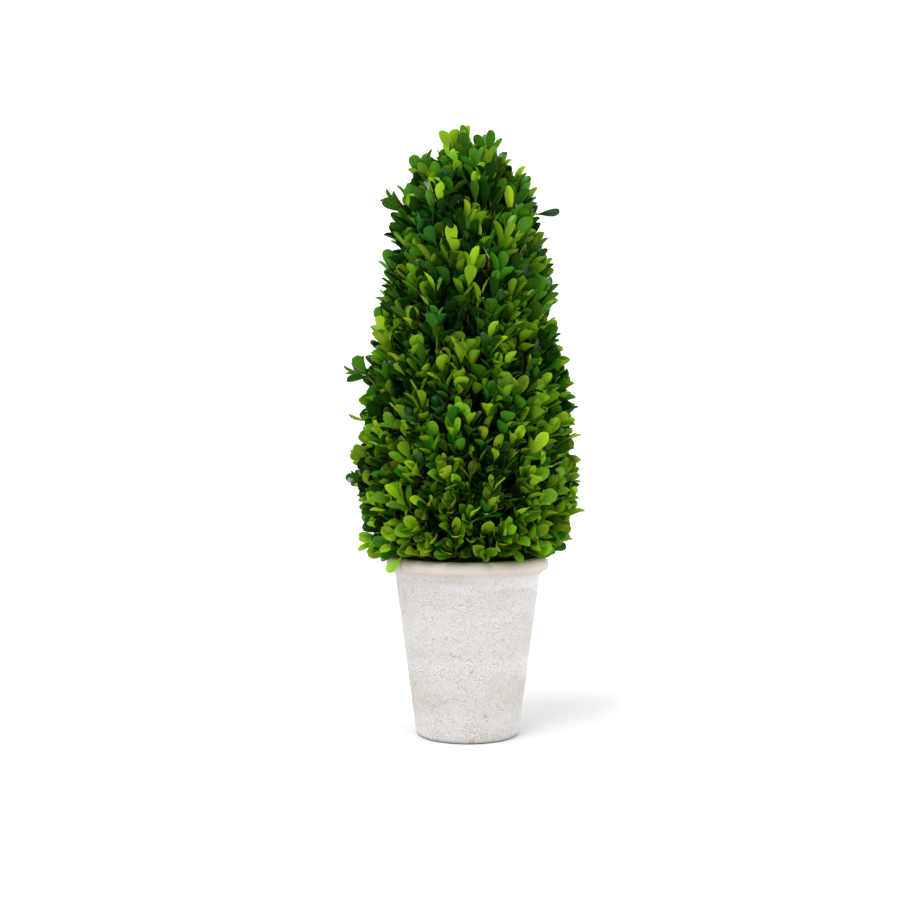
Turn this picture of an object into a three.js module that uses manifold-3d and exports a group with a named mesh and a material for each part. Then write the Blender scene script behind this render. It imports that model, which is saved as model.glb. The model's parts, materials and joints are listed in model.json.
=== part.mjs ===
// A clipped boxwood cone in a whitewashed clay pot: the pot with its rolled rim, the potting
// soil, one main stem, and two masses of foliage round that stem, each with its own core.
// Units are millimetres, +Z is up, and the origin is the middle of the pot's flat underside.
import * as THREE from 'three';
import { mergeVertices } from 'three/addons/utils/BufferGeometryUtils.js';
import Module from 'manifold-3d';

const wasm = await Module();
wasm.setup();
const { Manifold, Mesh: ManifoldMesh } = wasm;

// Driving dimensions
const TOTAL_HEIGHT = 520; // floor to the highest leaf tip
const CLEARANCE = 0.3; // between pieces that rest on or run past each other
const MASS_GAP = 1.0; // between neighbouring masses of foliage

const POT = {
  height: 152,
  sides: 40,
  baseRadius: 43.5,
  footRounding: 4,
  neckHeight: 135, // where the straight wall meets the rim
  neckRadius: 61.5,
  rimRadius: 69.5,
  rimRoll: 6.5, // radius of the rolled lip
  rollStart: -35, // degrees below level at which the lip's underside begins
  cove: 4, // height of the soft hollow under the lip
  mouthRadius: 57,
  mouthRounding: 2.5,
  floorThickness: 11,
  floorRadius: 36,
};

const SOIL = { topHeight: 146, flatRadius: 40, edgeDrop: 4 };

const STEM = {
  sides: 12,
  topHeight: 440,
  flareRadius: 12,
  flareHeight: 14,
  footRadius: 8.5,
  topRadius: 3.2,
  bow: 3, // sideways bend at mid height
};

// The clipped outline that the leaf tips reach
const CROWN = {
  footHeight: 155,
  footRadius: 89,
  bellyHeight: 225,
  bellyRadius: 98,
  bellyRoundness: 1.3,
  shoulderHeight: 455,
  shoulderRadius: 63,
  tipHeight: TOTAL_HEIGHT,
  tipRoundness: 1.7,
};

// The solid heart of the crown, which the leafy shoots stand out of
const CORE = { inset: 21, topInset: 36, sides: 16, footHeight: 157, steps: 7 };

// How the shoots rise from level at the crown's foot to upright at its tip
const RISE = { foot: 0, tip: 86, power: 0.85 };

// Heights on the clipped outline at which one mass ends and the next begins
const MASS_BOUNDARIES = [336];
const MASS_NAMES = ['foliage_lower', 'foliage_upper'];

const SPRIG = {
  count: 92,
  length: 46,
  rootRadius: 2.3,
  tipRadius: 1.5,
  pairs: 3,
  pairSpacing: 8.5,
  firstPair: 1.5, // from the shoot's tip back to its first pair of leaves
  spreadAtTip: 24, // degrees between leaf and shoot
  spreadStep: 13, // degrees more at each pair further back
  wander: 5, // how far a shoot's tip strays inwards from the clipped outline
  turnJitter: 0.25, // radians either way, round the crown
  riseJitter: 0.15, // radians either way, up or down
  topCrowding: 1.1, // how much closer the shoots stand at the tip than at the foot
};

const LEAF = { length: 26, width: 14.5, thickness: 1.3, cup: 0.9, sunk: 1.4 };

// Shoots that stand proud of the clipped outline: compass angle and height of the tip, how far
// past the outline it reaches, and how steeply it rises, in degrees
const STRAYS = [
  { angle: 181, height: 309, reach: 17, rise: 24 },
  { angle: 352, height: 447, reach: 15, rise: 14 },
  { angle: 186, height: 462, reach: 9, rise: 38 },
  { angle: 192, height: 165, reach: 7, rise: -4 },
  { angle: 216, height: 152, reach: -3, rise: -34 },
  { angle: 297, height: 153, reach: -5, rise: -30 },
  { angle: 60, height: 390, reach: 8, rise: 40 },
  { angle: 118, height: 205, reach: 8, rise: 10 },
  { angle: 0, height: TOTAL_HEIGHT, reach: 0, rise: 90 },
];

const SEED = 41;
const GOLDEN_ANGLE = Math.PI * (3 - Math.sqrt(5));
const UP = new THREE.Vector3(0, 0, 1);
const { degToRad, lerp, clamp } = THREE.MathUtils;

const LOOKS = {
  clay: { color: 0xd9d4cb, roughness: 0.95, metalness: 0 },
  soil: { color: 0x2a2018, roughness: 1, metalness: 0 },
  bark: { color: 0x6b5a44, roughness: 0.9, metalness: 0 },
  leaf: { color: 0x3f7d18, roughness: 0.5, metalness: 0 },
};

// Numbers from 0 to 1 that are the same on every run
function seededNumbers(seed) {
  let state = seed >>> 0;
  return () => {
    state = (state + 0x6d2b79f5) >>> 0;
    let mixed = state;
    mixed = Math.imul(mixed ^ (mixed >>> 15), mixed | 1);
    mixed ^= mixed + Math.imul(mixed ^ (mixed >>> 7), mixed | 61);
    return ((mixed ^ (mixed >>> 14)) >>> 0) / 4294967296;
  };
}

// Solids and geometries

function toSolid(geometry) {
  const bare = geometry.clone();
  bare.deleteAttribute('normal');
  bare.deleteAttribute('uv');
  const merged = mergeVertices(bare, 1e-4);
  return new Manifold(
    new ManifoldMesh({
      numProp: 3,
      vertProperties: merged.attributes.position.array,
      triVerts: new Uint32Array(merged.index.array),
    }),
  );
}

function toGeometry(solid) {
  const mesh = solid.getMesh();
  const geometry = new THREE.BufferGeometry();
  geometry.setAttribute('position', new THREE.BufferAttribute(mesh.vertProperties, 3));
  geometry.setIndex(new THREE.BufferAttribute(mesh.triVerts, 1));
  geometry.computeVertexNormals();
  return geometry;
}

function closedGeometry(points, triangles) {
  const geometry = new THREE.BufferGeometry().setFromPoints(points);
  geometry.setIndex(triangles.flat());
  return geometry;
}

// The largest body of a solid: loose scraps are dropped, and sealed hollows are filled
function mainBody(solid) {
  return solid.decompose().reduce((best, body) => (body.volume() > best.volume() ? body : best));
}

// A solid of revolution about +Z from a profile of (radius, height) points
function turned(profile, sides) {
  return new THREE.LatheGeometry(profile, sides).rotateX(Math.PI / 2);
}

function named(name, geometry, look) {
  const mesh = new THREE.Mesh(geometry, new THREE.MeshStandardMaterial(look));
  mesh.name = name;
  return mesh;
}

// The crown's rules

function crownRadius(height) {
  const { footHeight, footRadius, bellyHeight, bellyRadius, shoulderHeight, shoulderRadius } = CROWN;
  if (height < bellyHeight) {
    const share = clamp((height - footHeight) / (bellyHeight - footHeight), 0, 1);
    return lerp(footRadius, bellyRadius, Math.sin((share * Math.PI) / 2));
  }
  if (height < shoulderHeight) {
    const share = (height - bellyHeight) / (shoulderHeight - bellyHeight);
    return lerp(bellyRadius, shoulderRadius, share ** CROWN.bellyRoundness);
  }
  const share = clamp((height - shoulderHeight) / (CROWN.tipHeight - shoulderHeight), 0, 1);
  return shoulderRadius * (1 - share ** CROWN.tipRoundness);
}

function riseAt(height) {
  const share = clamp((height - CROWN.footHeight) / (CROWN.tipHeight - CROWN.footHeight), 0, 1);
  return degToRad(lerp(RISE.foot, RISE.tip, share ** RISE.power));
}

// The cone between two masses, which runs along the shoots: its height at a radius
function boundaryHeight(boundary, radius) {
  return boundary + (radius - crownRadius(boundary)) * Math.tan(riseAt(boundary));
}

// The lowest and highest that a mass reaches at a radius, kept back by half the gap and a margin
function massFloor(mass, radius, margin) {
  if (mass === 0) return -Infinity;
  const boundary = MASS_BOUNDARIES[mass - 1];
  return boundaryHeight(boundary, radius) + (MASS_GAP / 2 + margin) / Math.cos(riseAt(boundary));
}

function massCeiling(mass, radius, margin) {
  if (mass === MASS_BOUNDARIES.length) return Infinity;
  const boundary = MASS_BOUNDARIES[mass];
  return boundaryHeight(boundary, radius) - (MASS_GAP / 2 + margin) / Math.cos(riseAt(boundary));
}

// Whether a point lies in a mass's own space, clear of its neighbour and of the pot
function inMass(point, mass, margin) {
  const radius = Math.hypot(point.x, point.y);
  if (point.z < massFloor(mass, radius, margin)) return false;
  if (point.z > massCeiling(mass, radius, margin)) return false;
  const overPot = radius < POT.rimRadius + CLEARANCE + margin;
  return !(overPot && point.z < POT.height + CLEARANCE + margin);
}

function massOf(point) {
  const radius = Math.hypot(point.x, point.y);
  const above = MASS_BOUNDARIES.filter((boundary) => point.z > boundaryHeight(boundary, radius));
  return above.length;
}

// Leaves and shoots

// A spoon-shaped leaf of eight faces, along +X with its upper side towards +Z
function leafGeometry() {
  const { length, width, thickness, cup } = LEAF;
  const outline = [
    [0, 0, 0],
    [0.6, -0.5, cup],
    [1, -0.23, cup / 2],
    [1, 0.23, cup / 2],
    [0.6, 0.5, cup],
  ].map(([along, across, lift]) => new THREE.Vector3(along * length, across * width, -lift));
  const crest = new THREE.Vector3(0.58 * length, 0, thickness);
  const upper = outline.map((point, i) => [i, (i + 1) % outline.length, outline.length]);
  const lower = [
    [0, 4, 1],
    [4, 3, 1],
    [3, 2, 1],
  ];
  return closedGeometry([...outline, crest], [...upper, ...lower]);
}

// A three-sided tapering twig along +X
function twigGeometry(length) {
  const ring = (x, radius) =>
    [0, 1, 2].map((i) => {
      const angle = (i * 2 * Math.PI) / 3;
      return new THREE.Vector3(x, radius * Math.cos(angle), radius * Math.sin(angle));
    });
  const sides = [0, 1, 2].flatMap((i) => {
    const next = (i + 1) % 3;
    return [
      [i, next, i + 3],
      [next, next + 3, i + 3],
    ];
  });
  const points = [...ring(0, SPRIG.rootRadius), ...ring(length, SPRIG.tipRadius)];
  return closedGeometry(points, [...sides, [0, 2, 1], [3, 4, 5]]);
}

// A frame at a point, with its x axis along a direction and its z axis towards another
function frameAt(origin, along, towards) {
  const x = along.clone().normalize();
  const z = towards.clone().addScaledVector(x, -towards.dot(x)).normalize();
  const y = z.clone().cross(x);
  return new THREE.Matrix4().makeBasis(x, y, z).setPosition(origin);
}

// Two directions across a shoot, at right angles to it and to each other
function acrossOf(direction) {
  const seed = Math.abs(direction.z) > 0.95 ? new THREE.Vector3(1, 0, 0) : UP;
  const side = seed.clone().cross(direction).normalize();
  return [side, direction.clone().cross(side)];
}

// Leaf frames of one shoot: opposite pairs, each pair a quarter turn from the last
function leafFrames(tip, direction, roll) {
  const [side, top] = acrossOf(direction);
  const frames = [];
  for (let pair = 0; pair < SPRIG.pairs; pair++) {
    const node = tip.clone().addScaledVector(direction, -(SPRIG.firstPair + pair * SPRIG.pairSpacing));
    const spread = degToRad(SPRIG.spreadAtTip + pair * SPRIG.spreadStep);
    for (const half of [0, Math.PI]) {
      const turn = roll + (pair * Math.PI) / 2 + half;
      const out = side.clone().multiplyScalar(Math.cos(turn)).addScaledVector(top, Math.sin(turn));
      const along = direction.clone().multiplyScalar(Math.cos(spread)).addScaledVector(out, Math.sin(spread));
      const face = direction.clone().multiplyScalar(Math.sin(spread)).addScaledVector(out, -Math.cos(spread));
      frames.push(frameAt(node.clone().addScaledVector(along, -LEAF.sunk), along, face));
    }
  }
  return frames;
}

// Every shoot of the crown: its tip, direction and roll, dealt evenly over the clipped outline
function crownShoots() {
  const random = seededNumbers(SEED);
  const leafShown = LEAF.length - LEAF.sunk;
  const leafReach = leafShown * Math.cos(degToRad(SPRIG.spreadAtTip)) - SPRIG.firstPair;
  const place = (angle, height, radius, rise) => {
    const outward = new THREE.Vector3(Math.cos(angle), Math.sin(angle), 0);
    const direction = outward.clone().multiplyScalar(Math.cos(rise)).addScaledVector(UP, Math.sin(rise));
    const reach = outward.multiplyScalar(radius).addScaledVector(UP, height);
    return { tip: reach.addScaledVector(direction, -leafReach), direction };
  };
  const shoots = spreadHeights(SPRIG.count).map((height, i) => {
    const angle = i * GOLDEN_ANGLE + lerp(-1, 1, random()) * SPRIG.turnJitter;
    const rise = riseAt(height) + lerp(-1, 1, random()) * SPRIG.riseJitter;
    const inwards = random() * SPRIG.wander;
    const radius = crownRadius(height) - inwards * Math.cos(rise);
    const shoot = place(angle, height - inwards * Math.sin(rise), radius, rise);
    return { ...shoot, roll: random() * Math.PI };
  });
  const strays = STRAYS.map(({ angle, height, reach, rise }) => {
    const shoot = place(degToRad(angle), height, crownRadius(height) + reach, degToRad(rise));
    return { ...shoot, roll: Math.PI / 4 };
  });
  return [...shoots, ...strays];
}

// Heights that deal a number of shoots by the area of the clipped outline, closer near the tip
function spreadHeights(count) {
  const steps = 400;
  const areas = [0];
  const heightAt = (step) => lerp(CROWN.footHeight + 3, CROWN.tipHeight - 1, step / steps);
  for (let step = 1; step <= steps; step++) {
    const [low, high] = [heightAt(step - 1), heightAt(step)];
    const slope = Math.hypot(high - low, crownRadius(high) - crownRadius(low));
    const crowding = 1 + SPRIG.topCrowding * (step / steps) ** 4;
    areas.push(areas[step - 1] + slope * (crownRadius(low) + crownRadius(high)) * crowding);
  }
  return Array.from({ length: count }, (_, i) => {
    const wanted = ((i + 0.5) / count) * areas[steps];
    const step = areas.findIndex((area) => area >= wanted);
    const share = (wanted - areas[step - 1]) / (areas[step] - areas[step - 1]);
    return lerp(heightAt(step - 1), heightAt(step), share);
  });
}

// The solids of one shoot that stay in its mass's space
function shootSolids({ tip, direction, roll }, mass) {
  const root = tip.clone().addScaledVector(direction, -SPRIG.length);
  const start = firstInside(root, tip, mass);
  const length = tip.distanceTo(start);
  if (length < SPRIG.pairSpacing) return [];
  const [side] = acrossOf(direction);
  const twig = twigGeometry(length).applyMatrix4(frameAt(start, direction, side));
  const leaves = leafFrames(tip, direction, roll)
    .map((frame) => leafGeometry().applyMatrix4(frame))
    .filter((leaf) => staysInMass(leaf, mass));
  return leaves.length ? [twig, ...leaves].map(toSolid) : [];
}

// The furthest point back along a shoot that is still in its mass's space
function firstInside(root, tip, mass) {
  const steps = 12;
  let inside = tip;
  for (let step = 0; step <= steps; step++) {
    const point = tip.clone().lerp(root, step / steps);
    if (!inMass(point, mass, SPRIG.rootRadius)) break;
    inside = point;
  }
  return inside;
}

function staysInMass(geometry, mass) {
  const position = geometry.attributes.position;
  const corners = Array.from({ length: position.count }, (_, i) =>
    new THREE.Vector3().fromBufferAttribute(position, i),
  );
  const between = corners.flatMap((a, i) => corners.slice(i + 1).map((b) => a.clone().lerp(b, 0.5)));
  return [...corners, ...between].every((point) => inMass(point, mass, 0));
}

// The pieces

function potGeometry() {
  const rollCentre = { radius: POT.rimRadius - POT.rimRoll, height: POT.height - POT.rimRoll };
  const rollStart = degToRad(POT.rollStart);
  const rollFoot = [
    rollCentre.radius + POT.rimRoll * Math.cos(rollStart),
    rollCentre.height + POT.rimRoll * Math.sin(rollStart),
  ];
  const slope = (POT.neckRadius - POT.baseRadius) / POT.neckHeight;
  const roundingTop = POT.baseRadius + slope * POT.footRounding;
  const coveRadius = POT.neckRadius + slope * POT.cove;
  const curvePoints = 3;
  const profile = new THREE.Path()
    .moveTo(0, 0)
    .lineTo(POT.baseRadius - POT.footRounding, 0)
    .quadraticCurveTo(POT.baseRadius, 0, roundingTop, POT.footRounding)
    .lineTo(POT.neckRadius, POT.neckHeight)
    .quadraticCurveTo(coveRadius, POT.neckHeight + POT.cove, ...rollFoot)
    .absarc(rollCentre.radius, rollCentre.height, POT.rimRoll, rollStart, Math.PI / 2, false)
    .lineTo(POT.mouthRadius + POT.mouthRounding, POT.height)
    .quadraticCurveTo(POT.mouthRadius, POT.height, POT.mouthRadius, POT.height - POT.mouthRounding)
    .lineTo(POT.floorRadius, POT.floorThickness)
    .lineTo(0, POT.floorThickness);
  return turned(profile.getPoints(curvePoints), POT.sides);
}

// The inside radius of the pot's wall at a height
function wallInside(height) {
  const wallTop = POT.height - POT.mouthRounding;
  const share = (height - POT.floorThickness) / (wallTop - POT.floorThickness);
  return lerp(POT.floorRadius, POT.mouthRadius, share);
}

function soilGeometry() {
  const bottom = POT.floorThickness + CLEARANCE;
  const edge = SOIL.topHeight - SOIL.edgeDrop;
  const profile = [
    [0, bottom],
    [wallInside(bottom) - 2 * CLEARANCE, bottom],
    [wallInside(edge) - 2 * CLEARANCE, edge],
    [SOIL.flatRadius, SOIL.topHeight],
    [0, SOIL.topHeight],
  ].map(([radius, height]) => new THREE.Vector2(radius, height));
  return turned(profile, POT.sides);
}

// The main stem, grown by some amount all round, from a flat cut on the soil to its tip
function stemGeometry(grown = 0) {
  const foot = SOIL.topHeight + CLEARANCE;
  const flareTop = foot + STEM.flareHeight;
  const top = STEM.topHeight + grown;
  const radiusAt = (height) => {
    const flare = clamp((flareTop - height) / STEM.flareHeight, 0, 1) ** 2;
    const taper = lerp(STEM.footRadius, STEM.topRadius, (height - foot) / (STEM.topHeight - foot));
    return taper + flare * (STEM.flareRadius - STEM.footRadius) + grown;
  };
  const flareRings = [0, 0.3, 0.65, 1].map((share) => lerp(foot, flareTop, share));
  const upperRings = [0.2, 0.4, 0.6, 0.8, 1].map((share) => lerp(flareTop, top, share));
  const profile = [...flareRings, ...upperRings].map((height) => new THREE.Vector2(radiusAt(height), height));
  const geometry = turned(
    [new THREE.Vector2(0, foot), ...profile, new THREE.Vector2(0, top)],
    STEM.sides,
  );
  const position = geometry.attributes.position;
  for (let i = 0; i < position.count; i++) {
    const share = (position.getZ(i) - foot) / (STEM.topHeight - foot);
    position.setX(i, position.getX(i) + STEM.bow * Math.sin(Math.PI * share));
  }
  return geometry;
}

// The outside of the crown's core, which closes in a dome below the crown's tip
function coreRadius(height) {
  const top = CROWN.tipHeight - CORE.topInset;
  const inner = crownRadius(height) - CORE.inset;
  const domed = inner * Math.min(1, Math.sqrt(Math.max(0, top - height) / CORE.inset));
  return Math.max(0, domed);
}

// The core of one mass: the slice of the crown's core between its two boundary cones
function coreSolid(mass) {
  const isLowest = mass === 0;
  const isHighest = mass === MASS_BOUNDARIES.length;
  const lowLine = (radius) => (isLowest ? CORE.footHeight : massFloor(mass, radius, 0));
  const highLine = (radius) => massCeiling(mass, radius, 0);
  const low = meetingHeight(lowLine);
  const high = isHighest ? CROWN.tipHeight - CORE.topInset : meetingHeight(highLine);
  const outer = Array.from({ length: CORE.steps + 1 }, (_, i) => {
    const height = lerp(low, high, i / CORE.steps);
    return new THREE.Vector2(coreRadius(height), height);
  });
  const profile = [new THREE.Vector2(0, lowLine(0)), ...outer];
  if (!isHighest) profile.push(new THREE.Vector2(0, highLine(0)));
  return toSolid(turned(profile, CORE.sides));
}

// The height at which a boundary line meets the outside of the crown's core
function meetingHeight(line) {
  const step = 0.25;
  let height = CORE.footHeight;
  while (height < line(coreRadius(height))) height += step;
  return height;
}

function massGeometry(mass, shoots) {
  const own = shoots.filter(({ tip }) => massOf(tip) === mass);
  const solids = own.flatMap((shoot) => shootSolids(shoot, mass));
  const stem = toSolid(stemGeometry(CLEARANCE));
  return toGeometry(mainBody(Manifold.union([coreSolid(mass), ...solids]).subtract(stem)));
}

function topiary() {
  const group = new THREE.Group();
  group.add(named('pot', potGeometry(), LOOKS.clay));
  group.add(named('potting_soil', soilGeometry(), LOOKS.soil));
  group.add(named('main_stem', stemGeometry(), LOOKS.bark));
  const shoots = crownShoots();
  MASS_NAMES.forEach((name, mass) => group.add(named(name, massGeometry(mass, shoots), LOOKS.leaf)));
  return group;
}

export default topiary();
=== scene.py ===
"""A clipped boxwood cone in a whitewashed clay pot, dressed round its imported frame.

Lengths are in metres, +Z is up, and the photographed side faces -Y. The pot, soil, stem, boughs, twigs and
leaves are built by the classes below, one for each sub-assembly, and main() puts them together.
"""

from __future__ import annotations

import json
import logging
import math
from collections.abc import Iterable, Sequence
from dataclasses import dataclass, field, replace
from enum import Enum

import bpy
import numpy as np
from mathutils import Matrix, Quaternion, Vector

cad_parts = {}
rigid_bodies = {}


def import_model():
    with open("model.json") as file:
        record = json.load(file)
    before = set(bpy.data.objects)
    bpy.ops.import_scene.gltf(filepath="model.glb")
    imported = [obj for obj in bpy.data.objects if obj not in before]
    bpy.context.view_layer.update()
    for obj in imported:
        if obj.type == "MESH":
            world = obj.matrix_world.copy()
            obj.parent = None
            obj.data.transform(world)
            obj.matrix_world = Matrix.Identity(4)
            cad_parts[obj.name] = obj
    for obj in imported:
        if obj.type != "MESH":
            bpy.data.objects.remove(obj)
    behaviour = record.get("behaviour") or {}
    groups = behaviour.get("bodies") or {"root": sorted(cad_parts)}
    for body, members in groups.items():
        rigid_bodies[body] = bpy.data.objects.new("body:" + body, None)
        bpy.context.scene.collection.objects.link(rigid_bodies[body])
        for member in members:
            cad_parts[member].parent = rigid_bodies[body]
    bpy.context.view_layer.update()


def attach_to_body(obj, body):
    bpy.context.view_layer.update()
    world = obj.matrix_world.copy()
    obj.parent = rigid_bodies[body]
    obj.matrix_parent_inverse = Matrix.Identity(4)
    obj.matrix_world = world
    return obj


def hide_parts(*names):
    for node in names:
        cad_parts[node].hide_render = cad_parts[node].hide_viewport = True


LOG = logging.getLogger("boxwood_cone")
BODY = "root"
WORD = 0xFFFFFFFF
STRIDE = 0x6D2B79F5
GOLDEN_ANGLE = math.pi * (3 - math.sqrt(5))
UP = Vector((0, 0, 1))
MM = 0.001

Flat = tuple[float, float]
Socket = bpy.types.NodeSocket
# What a node's input takes: a socket to join, or a plain value of the input's own type.
SocketValue = object
Inputs = dict[str | int, SocketValue]


def lerp(low: float, high: float, share: float) -> float:
    """Return the value at a share of the way from low to high."""
    return low + (high - low) * share


def clamp(value: float, low: float = 0.0, high: float = 1.0) -> float:
    """Return a value kept between two limits."""
    return max(low, min(high, value))


def linear(code: str) -> tuple[float, float, float, float]:
    """Work out the scene-linear colour of a screen colour, by the sRGB curve.

    Args:
        code: Six hexadecimal digits, as in "7fa01c".

    Returns:
        Red, green, blue and a full alpha.
    """
    values = [int(code[i : i + 2], 16) / 255 for i in (0, 2, 4)]
    red, green, blue = (v / 12.92 if v <= 0.04045 else ((v + 0.055) / 1.055) ** 2.4 for v in values)
    return red, green, blue, 1.0


class SeededNumbers:
    """Numbers from 0 to 1 that are the same on every run, by the same rule as the part's source."""

    def __init__(self, seed: int) -> None:
        """Start the row of numbers at a seed."""
        self.state = seed & WORD

    def next(self) -> float:
        """Draw the next number.

        Returns:
            The number, from 0 up to 1.
        """
        self.state = (self.state + STRIDE) & WORD
        mixed = self.state
        mixed = ((mixed ^ (mixed >> 15)) * (mixed | 1)) & WORD
        mixed ^= (mixed + (mixed ^ (mixed >> 7)) * (mixed | 61)) & WORD
        return (mixed ^ (mixed >> 14)) / (WORD + 1)

    def around(self, spread: float) -> float:
        """Return a number between minus and plus a spread."""
        return lerp(-spread, spread, self.next())

    def between(self, low: float, high: float) -> float:
        """Return a number between two limits."""
        return lerp(low, high, self.next())


class Wiring:
    """Adds nodes to a shader or geometry tree and joins them."""

    def __init__(self, tree: bpy.types.NodeTree) -> None:
        """Work on one tree."""
        self.tree = tree

    def add(self, kind: str, inputs: Inputs | None = None, **settings: object) -> bpy.types.Node:
        """Add a node.

        Args:
            kind: The node's type name.
            inputs: A value, or a socket to join, for each input by its name or its number.
            **settings: The node's own properties.

        Returns:
            The new node.
        """
        node = self.tree.nodes.new(kind)
        for name, value in settings.items():
            setattr(node, name, value)
        for key, value in (inputs or {}).items():
            if isinstance(value, Socket):
                self.tree.links.new(value, node.inputs[key])
            else:
                node.inputs[key].default_value = value
        return node

    def math(self, operation: str, first: SocketValue, second: SocketValue = 0.0) -> Socket:
        """Return the result of one sum on two values or sockets."""
        return self.add("ShaderNodeMath", {0: first, 1: second}, operation=operation).outputs[0]

    def times(self, first: SocketValue, second: SocketValue) -> Socket:
        """Return the product of two values or sockets."""
        return self.math("MULTIPLY", first, second)

    def plus(self, first: SocketValue, second: SocketValue) -> Socket:
        """Return two values or sockets added up."""
        return self.math("ADD", first, second)

    def minus(self, first: SocketValue, second: SocketValue) -> Socket:
        """Return the first value or socket less the second."""
        return self.math("SUBTRACT", first, second)

    def part(self, vector: SocketValue, axis: str) -> Socket:
        """Return a vector's part along an axis."""
        return self.add("ShaderNodeSeparateXYZ", {0: vector}).outputs[axis]

    def vector(self, operation: str, inputs: Inputs, out: str = "Vector") -> Socket:
        """Return the result of one sum on vectors."""
        return self.add("ShaderNodeVectorMath", inputs, operation=operation).outputs[out]

    def span(self, value: SocketValue, low: float, high: float, to: Flat = (0, 1)) -> Socket:
        """Return a value's place between low and high, smoothly, as a number in the range to."""
        inputs = {"Value": value, 1: low, 2: high, 3: to[0], 4: to[1]}
        return self.add("ShaderNodeMapRange", inputs, interpolation_type="SMOOTHSTEP").outputs[0]

    def noise(self, place: SocketValue, size: float, detail: float = 3.0, rough: float = 0.5) -> Socket:
        """Make a cloudy pattern from 0 to 1.

        Args:
            place: The socket that says where.
            size: The width of its patches, in metres.
            detail: How many finer layers it has.
            rough: How strong the finer layers are.

        Returns:
            The pattern's socket.
        """
        inputs = {"Vector": place, "Scale": 1 / size, "Detail": detail, "Roughness": rough}
        return self.add("ShaderNodeTexNoise", inputs).outputs[0]

    def cells(self, place: SocketValue, size: float) -> Socket:
        """Return the distance to the nearest of scattered points about size apart, in cells."""
        return self.add("ShaderNodeTexVoronoi", {"Vector": place, "Scale": 1 / size}).outputs["Distance"]

    def blend(self, share: SocketValue, first: SocketValue, second: SocketValue) -> Socket:
        """Return the first colour with the second mixed in by a share."""
        return self.add("ShaderNodeMix", {0: share, 6: first, 7: second}, data_type="RGBA").outputs[2]

    def dress(
        self, shader: bpy.types.Node, colour: Socket, height: Socket, strength: float, depth: float
    ) -> None:
        """Give a shader its colour and its bump.

        Args:
            shader: The shader.
            colour: The colour's socket.
            height: The socket of the bump's height, from 0 to 1.
            strength: How strong the bump is.
            depth: How high it stands at most, in metres.
        """
        bump = self.add("ShaderNodeBump", {"Height": height, "Strength": strength, "Distance": depth})
        self.tree.links.new(colour, shader.inputs["Base Color"])
        self.tree.links.new(bump.outputs[0], shader.inputs["Normal"])


def new_material(
    name: str, roughness: float, specular: float
) -> tuple[bpy.types.Material, Wiring, bpy.types.Node]:
    """Make a material with one main shader.

    Args:
        name: The material's name.
        roughness: Its roughness all over.
        specular: Its specular level all over.

    Returns:
        The material, the wiring of its tree, and its main shader.
    """
    material = bpy.data.materials.new(name)
    material.use_nodes = True
    shader = material.node_tree.nodes["Principled BSDF"]
    shader.inputs["Roughness"].default_value = roughness
    shader.inputs["Specular IOR Level"].default_value = specular
    return material, Wiring(material.node_tree), shader


def object_places(wiring: Wiring) -> Socket:
    """Return the socket that gives each point's place in the part's own frame."""
    return wiring.add("ShaderNodeTexCoord").outputs["Object"]


class GeometryTree:
    """A Geometry Nodes tree with named inputs, which turns one object into a plain mesh."""

    def __init__(self, name: str) -> None:
        """Make an empty tree that takes and gives geometry.

        Args:
            name: The tree's name.
        """
        self.tree = bpy.data.node_groups.new(name, "GeometryNodeTree")
        for way in ("INPUT", "OUTPUT"):
            self.tree.interface.new_socket("Geometry", in_out=way, socket_type="NodeSocketGeometry")
        self.wiring = Wiring(self.tree)
        self.entry = self.wiring.add("NodeGroupInput")
        self.exit = self.wiring.add("NodeGroupOutput")
        self.identifiers: dict[str, str] = {}

    def take(self, name: str, kind: str) -> Socket:
        """Add a named input.

        Args:
            name: What the input is called.
            kind: The end of its socket type, such as "Float".

        Returns:
            The socket that carries its value.
        """
        socket = self.tree.interface.new_socket(name, in_out="INPUT", socket_type="NodeSocket" + kind)
        self.identifiers[name] = socket.identifier
        return self.entry.outputs[name]

    def named(self, name: str, kind: str) -> Socket:
        """Return the socket of a stored attribute."""
        node = self.wiring.add("GeometryNodeInputNamedAttribute", {"Name": name}, data_type=kind)
        return node.outputs["Attribute"]

    def realized(self, node: bpy.types.Node) -> Socket:
        """Return a node's geometry with its instances made real."""
        return self.wiring.add("GeometryNodeRealizeInstances", {0: node.outputs[0]}).outputs[0]

    def paint(self, geometry: Socket, material: SocketValue, faces: SocketValue = True) -> Socket:
        """Return the geometry with a material set on some or all of its faces."""
        inputs = {"Geometry": geometry, "Selection": faces, "Material": material}
        return self.wiring.add("GeometryNodeSetMaterial", inputs).outputs[0]

    def finish(self, geometry: Socket) -> None:
        """Join the last geometry to the tree's way out."""
        self.tree.links.new(geometry, self.exit.inputs[0])

    def apply(self, source: bpy.types.Object, name: str, values: dict[str, object]) -> bpy.types.Object:
        """Run the tree on an object.

        Args:
            source: The object that it starts from, which is then removed.
            name: The finished piece's name.
            values: A value for each named input.

        Returns:
            A new object with a plain mesh and no modifier.
        """
        modifier = source.modifiers.new(self.tree.name, "NODES")
        modifier.node_group = self.tree
        for key, value in values.items():
            modifier[self.identifiers[key]] = value
        source.update_tag()
        bpy.context.view_layer.update()
        evaluated = source.evaluated_get(bpy.context.evaluated_depsgraph_get())
        mesh = bpy.data.meshes.new_from_object(evaluated)
        mesh.name = name
        piece = in_scene(name, mesh)
        source.modifiers.remove(modifier)
        old = source.data
        bpy.data.objects.remove(source)
        bpy.data.meshes.remove(old)
        return piece


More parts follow.
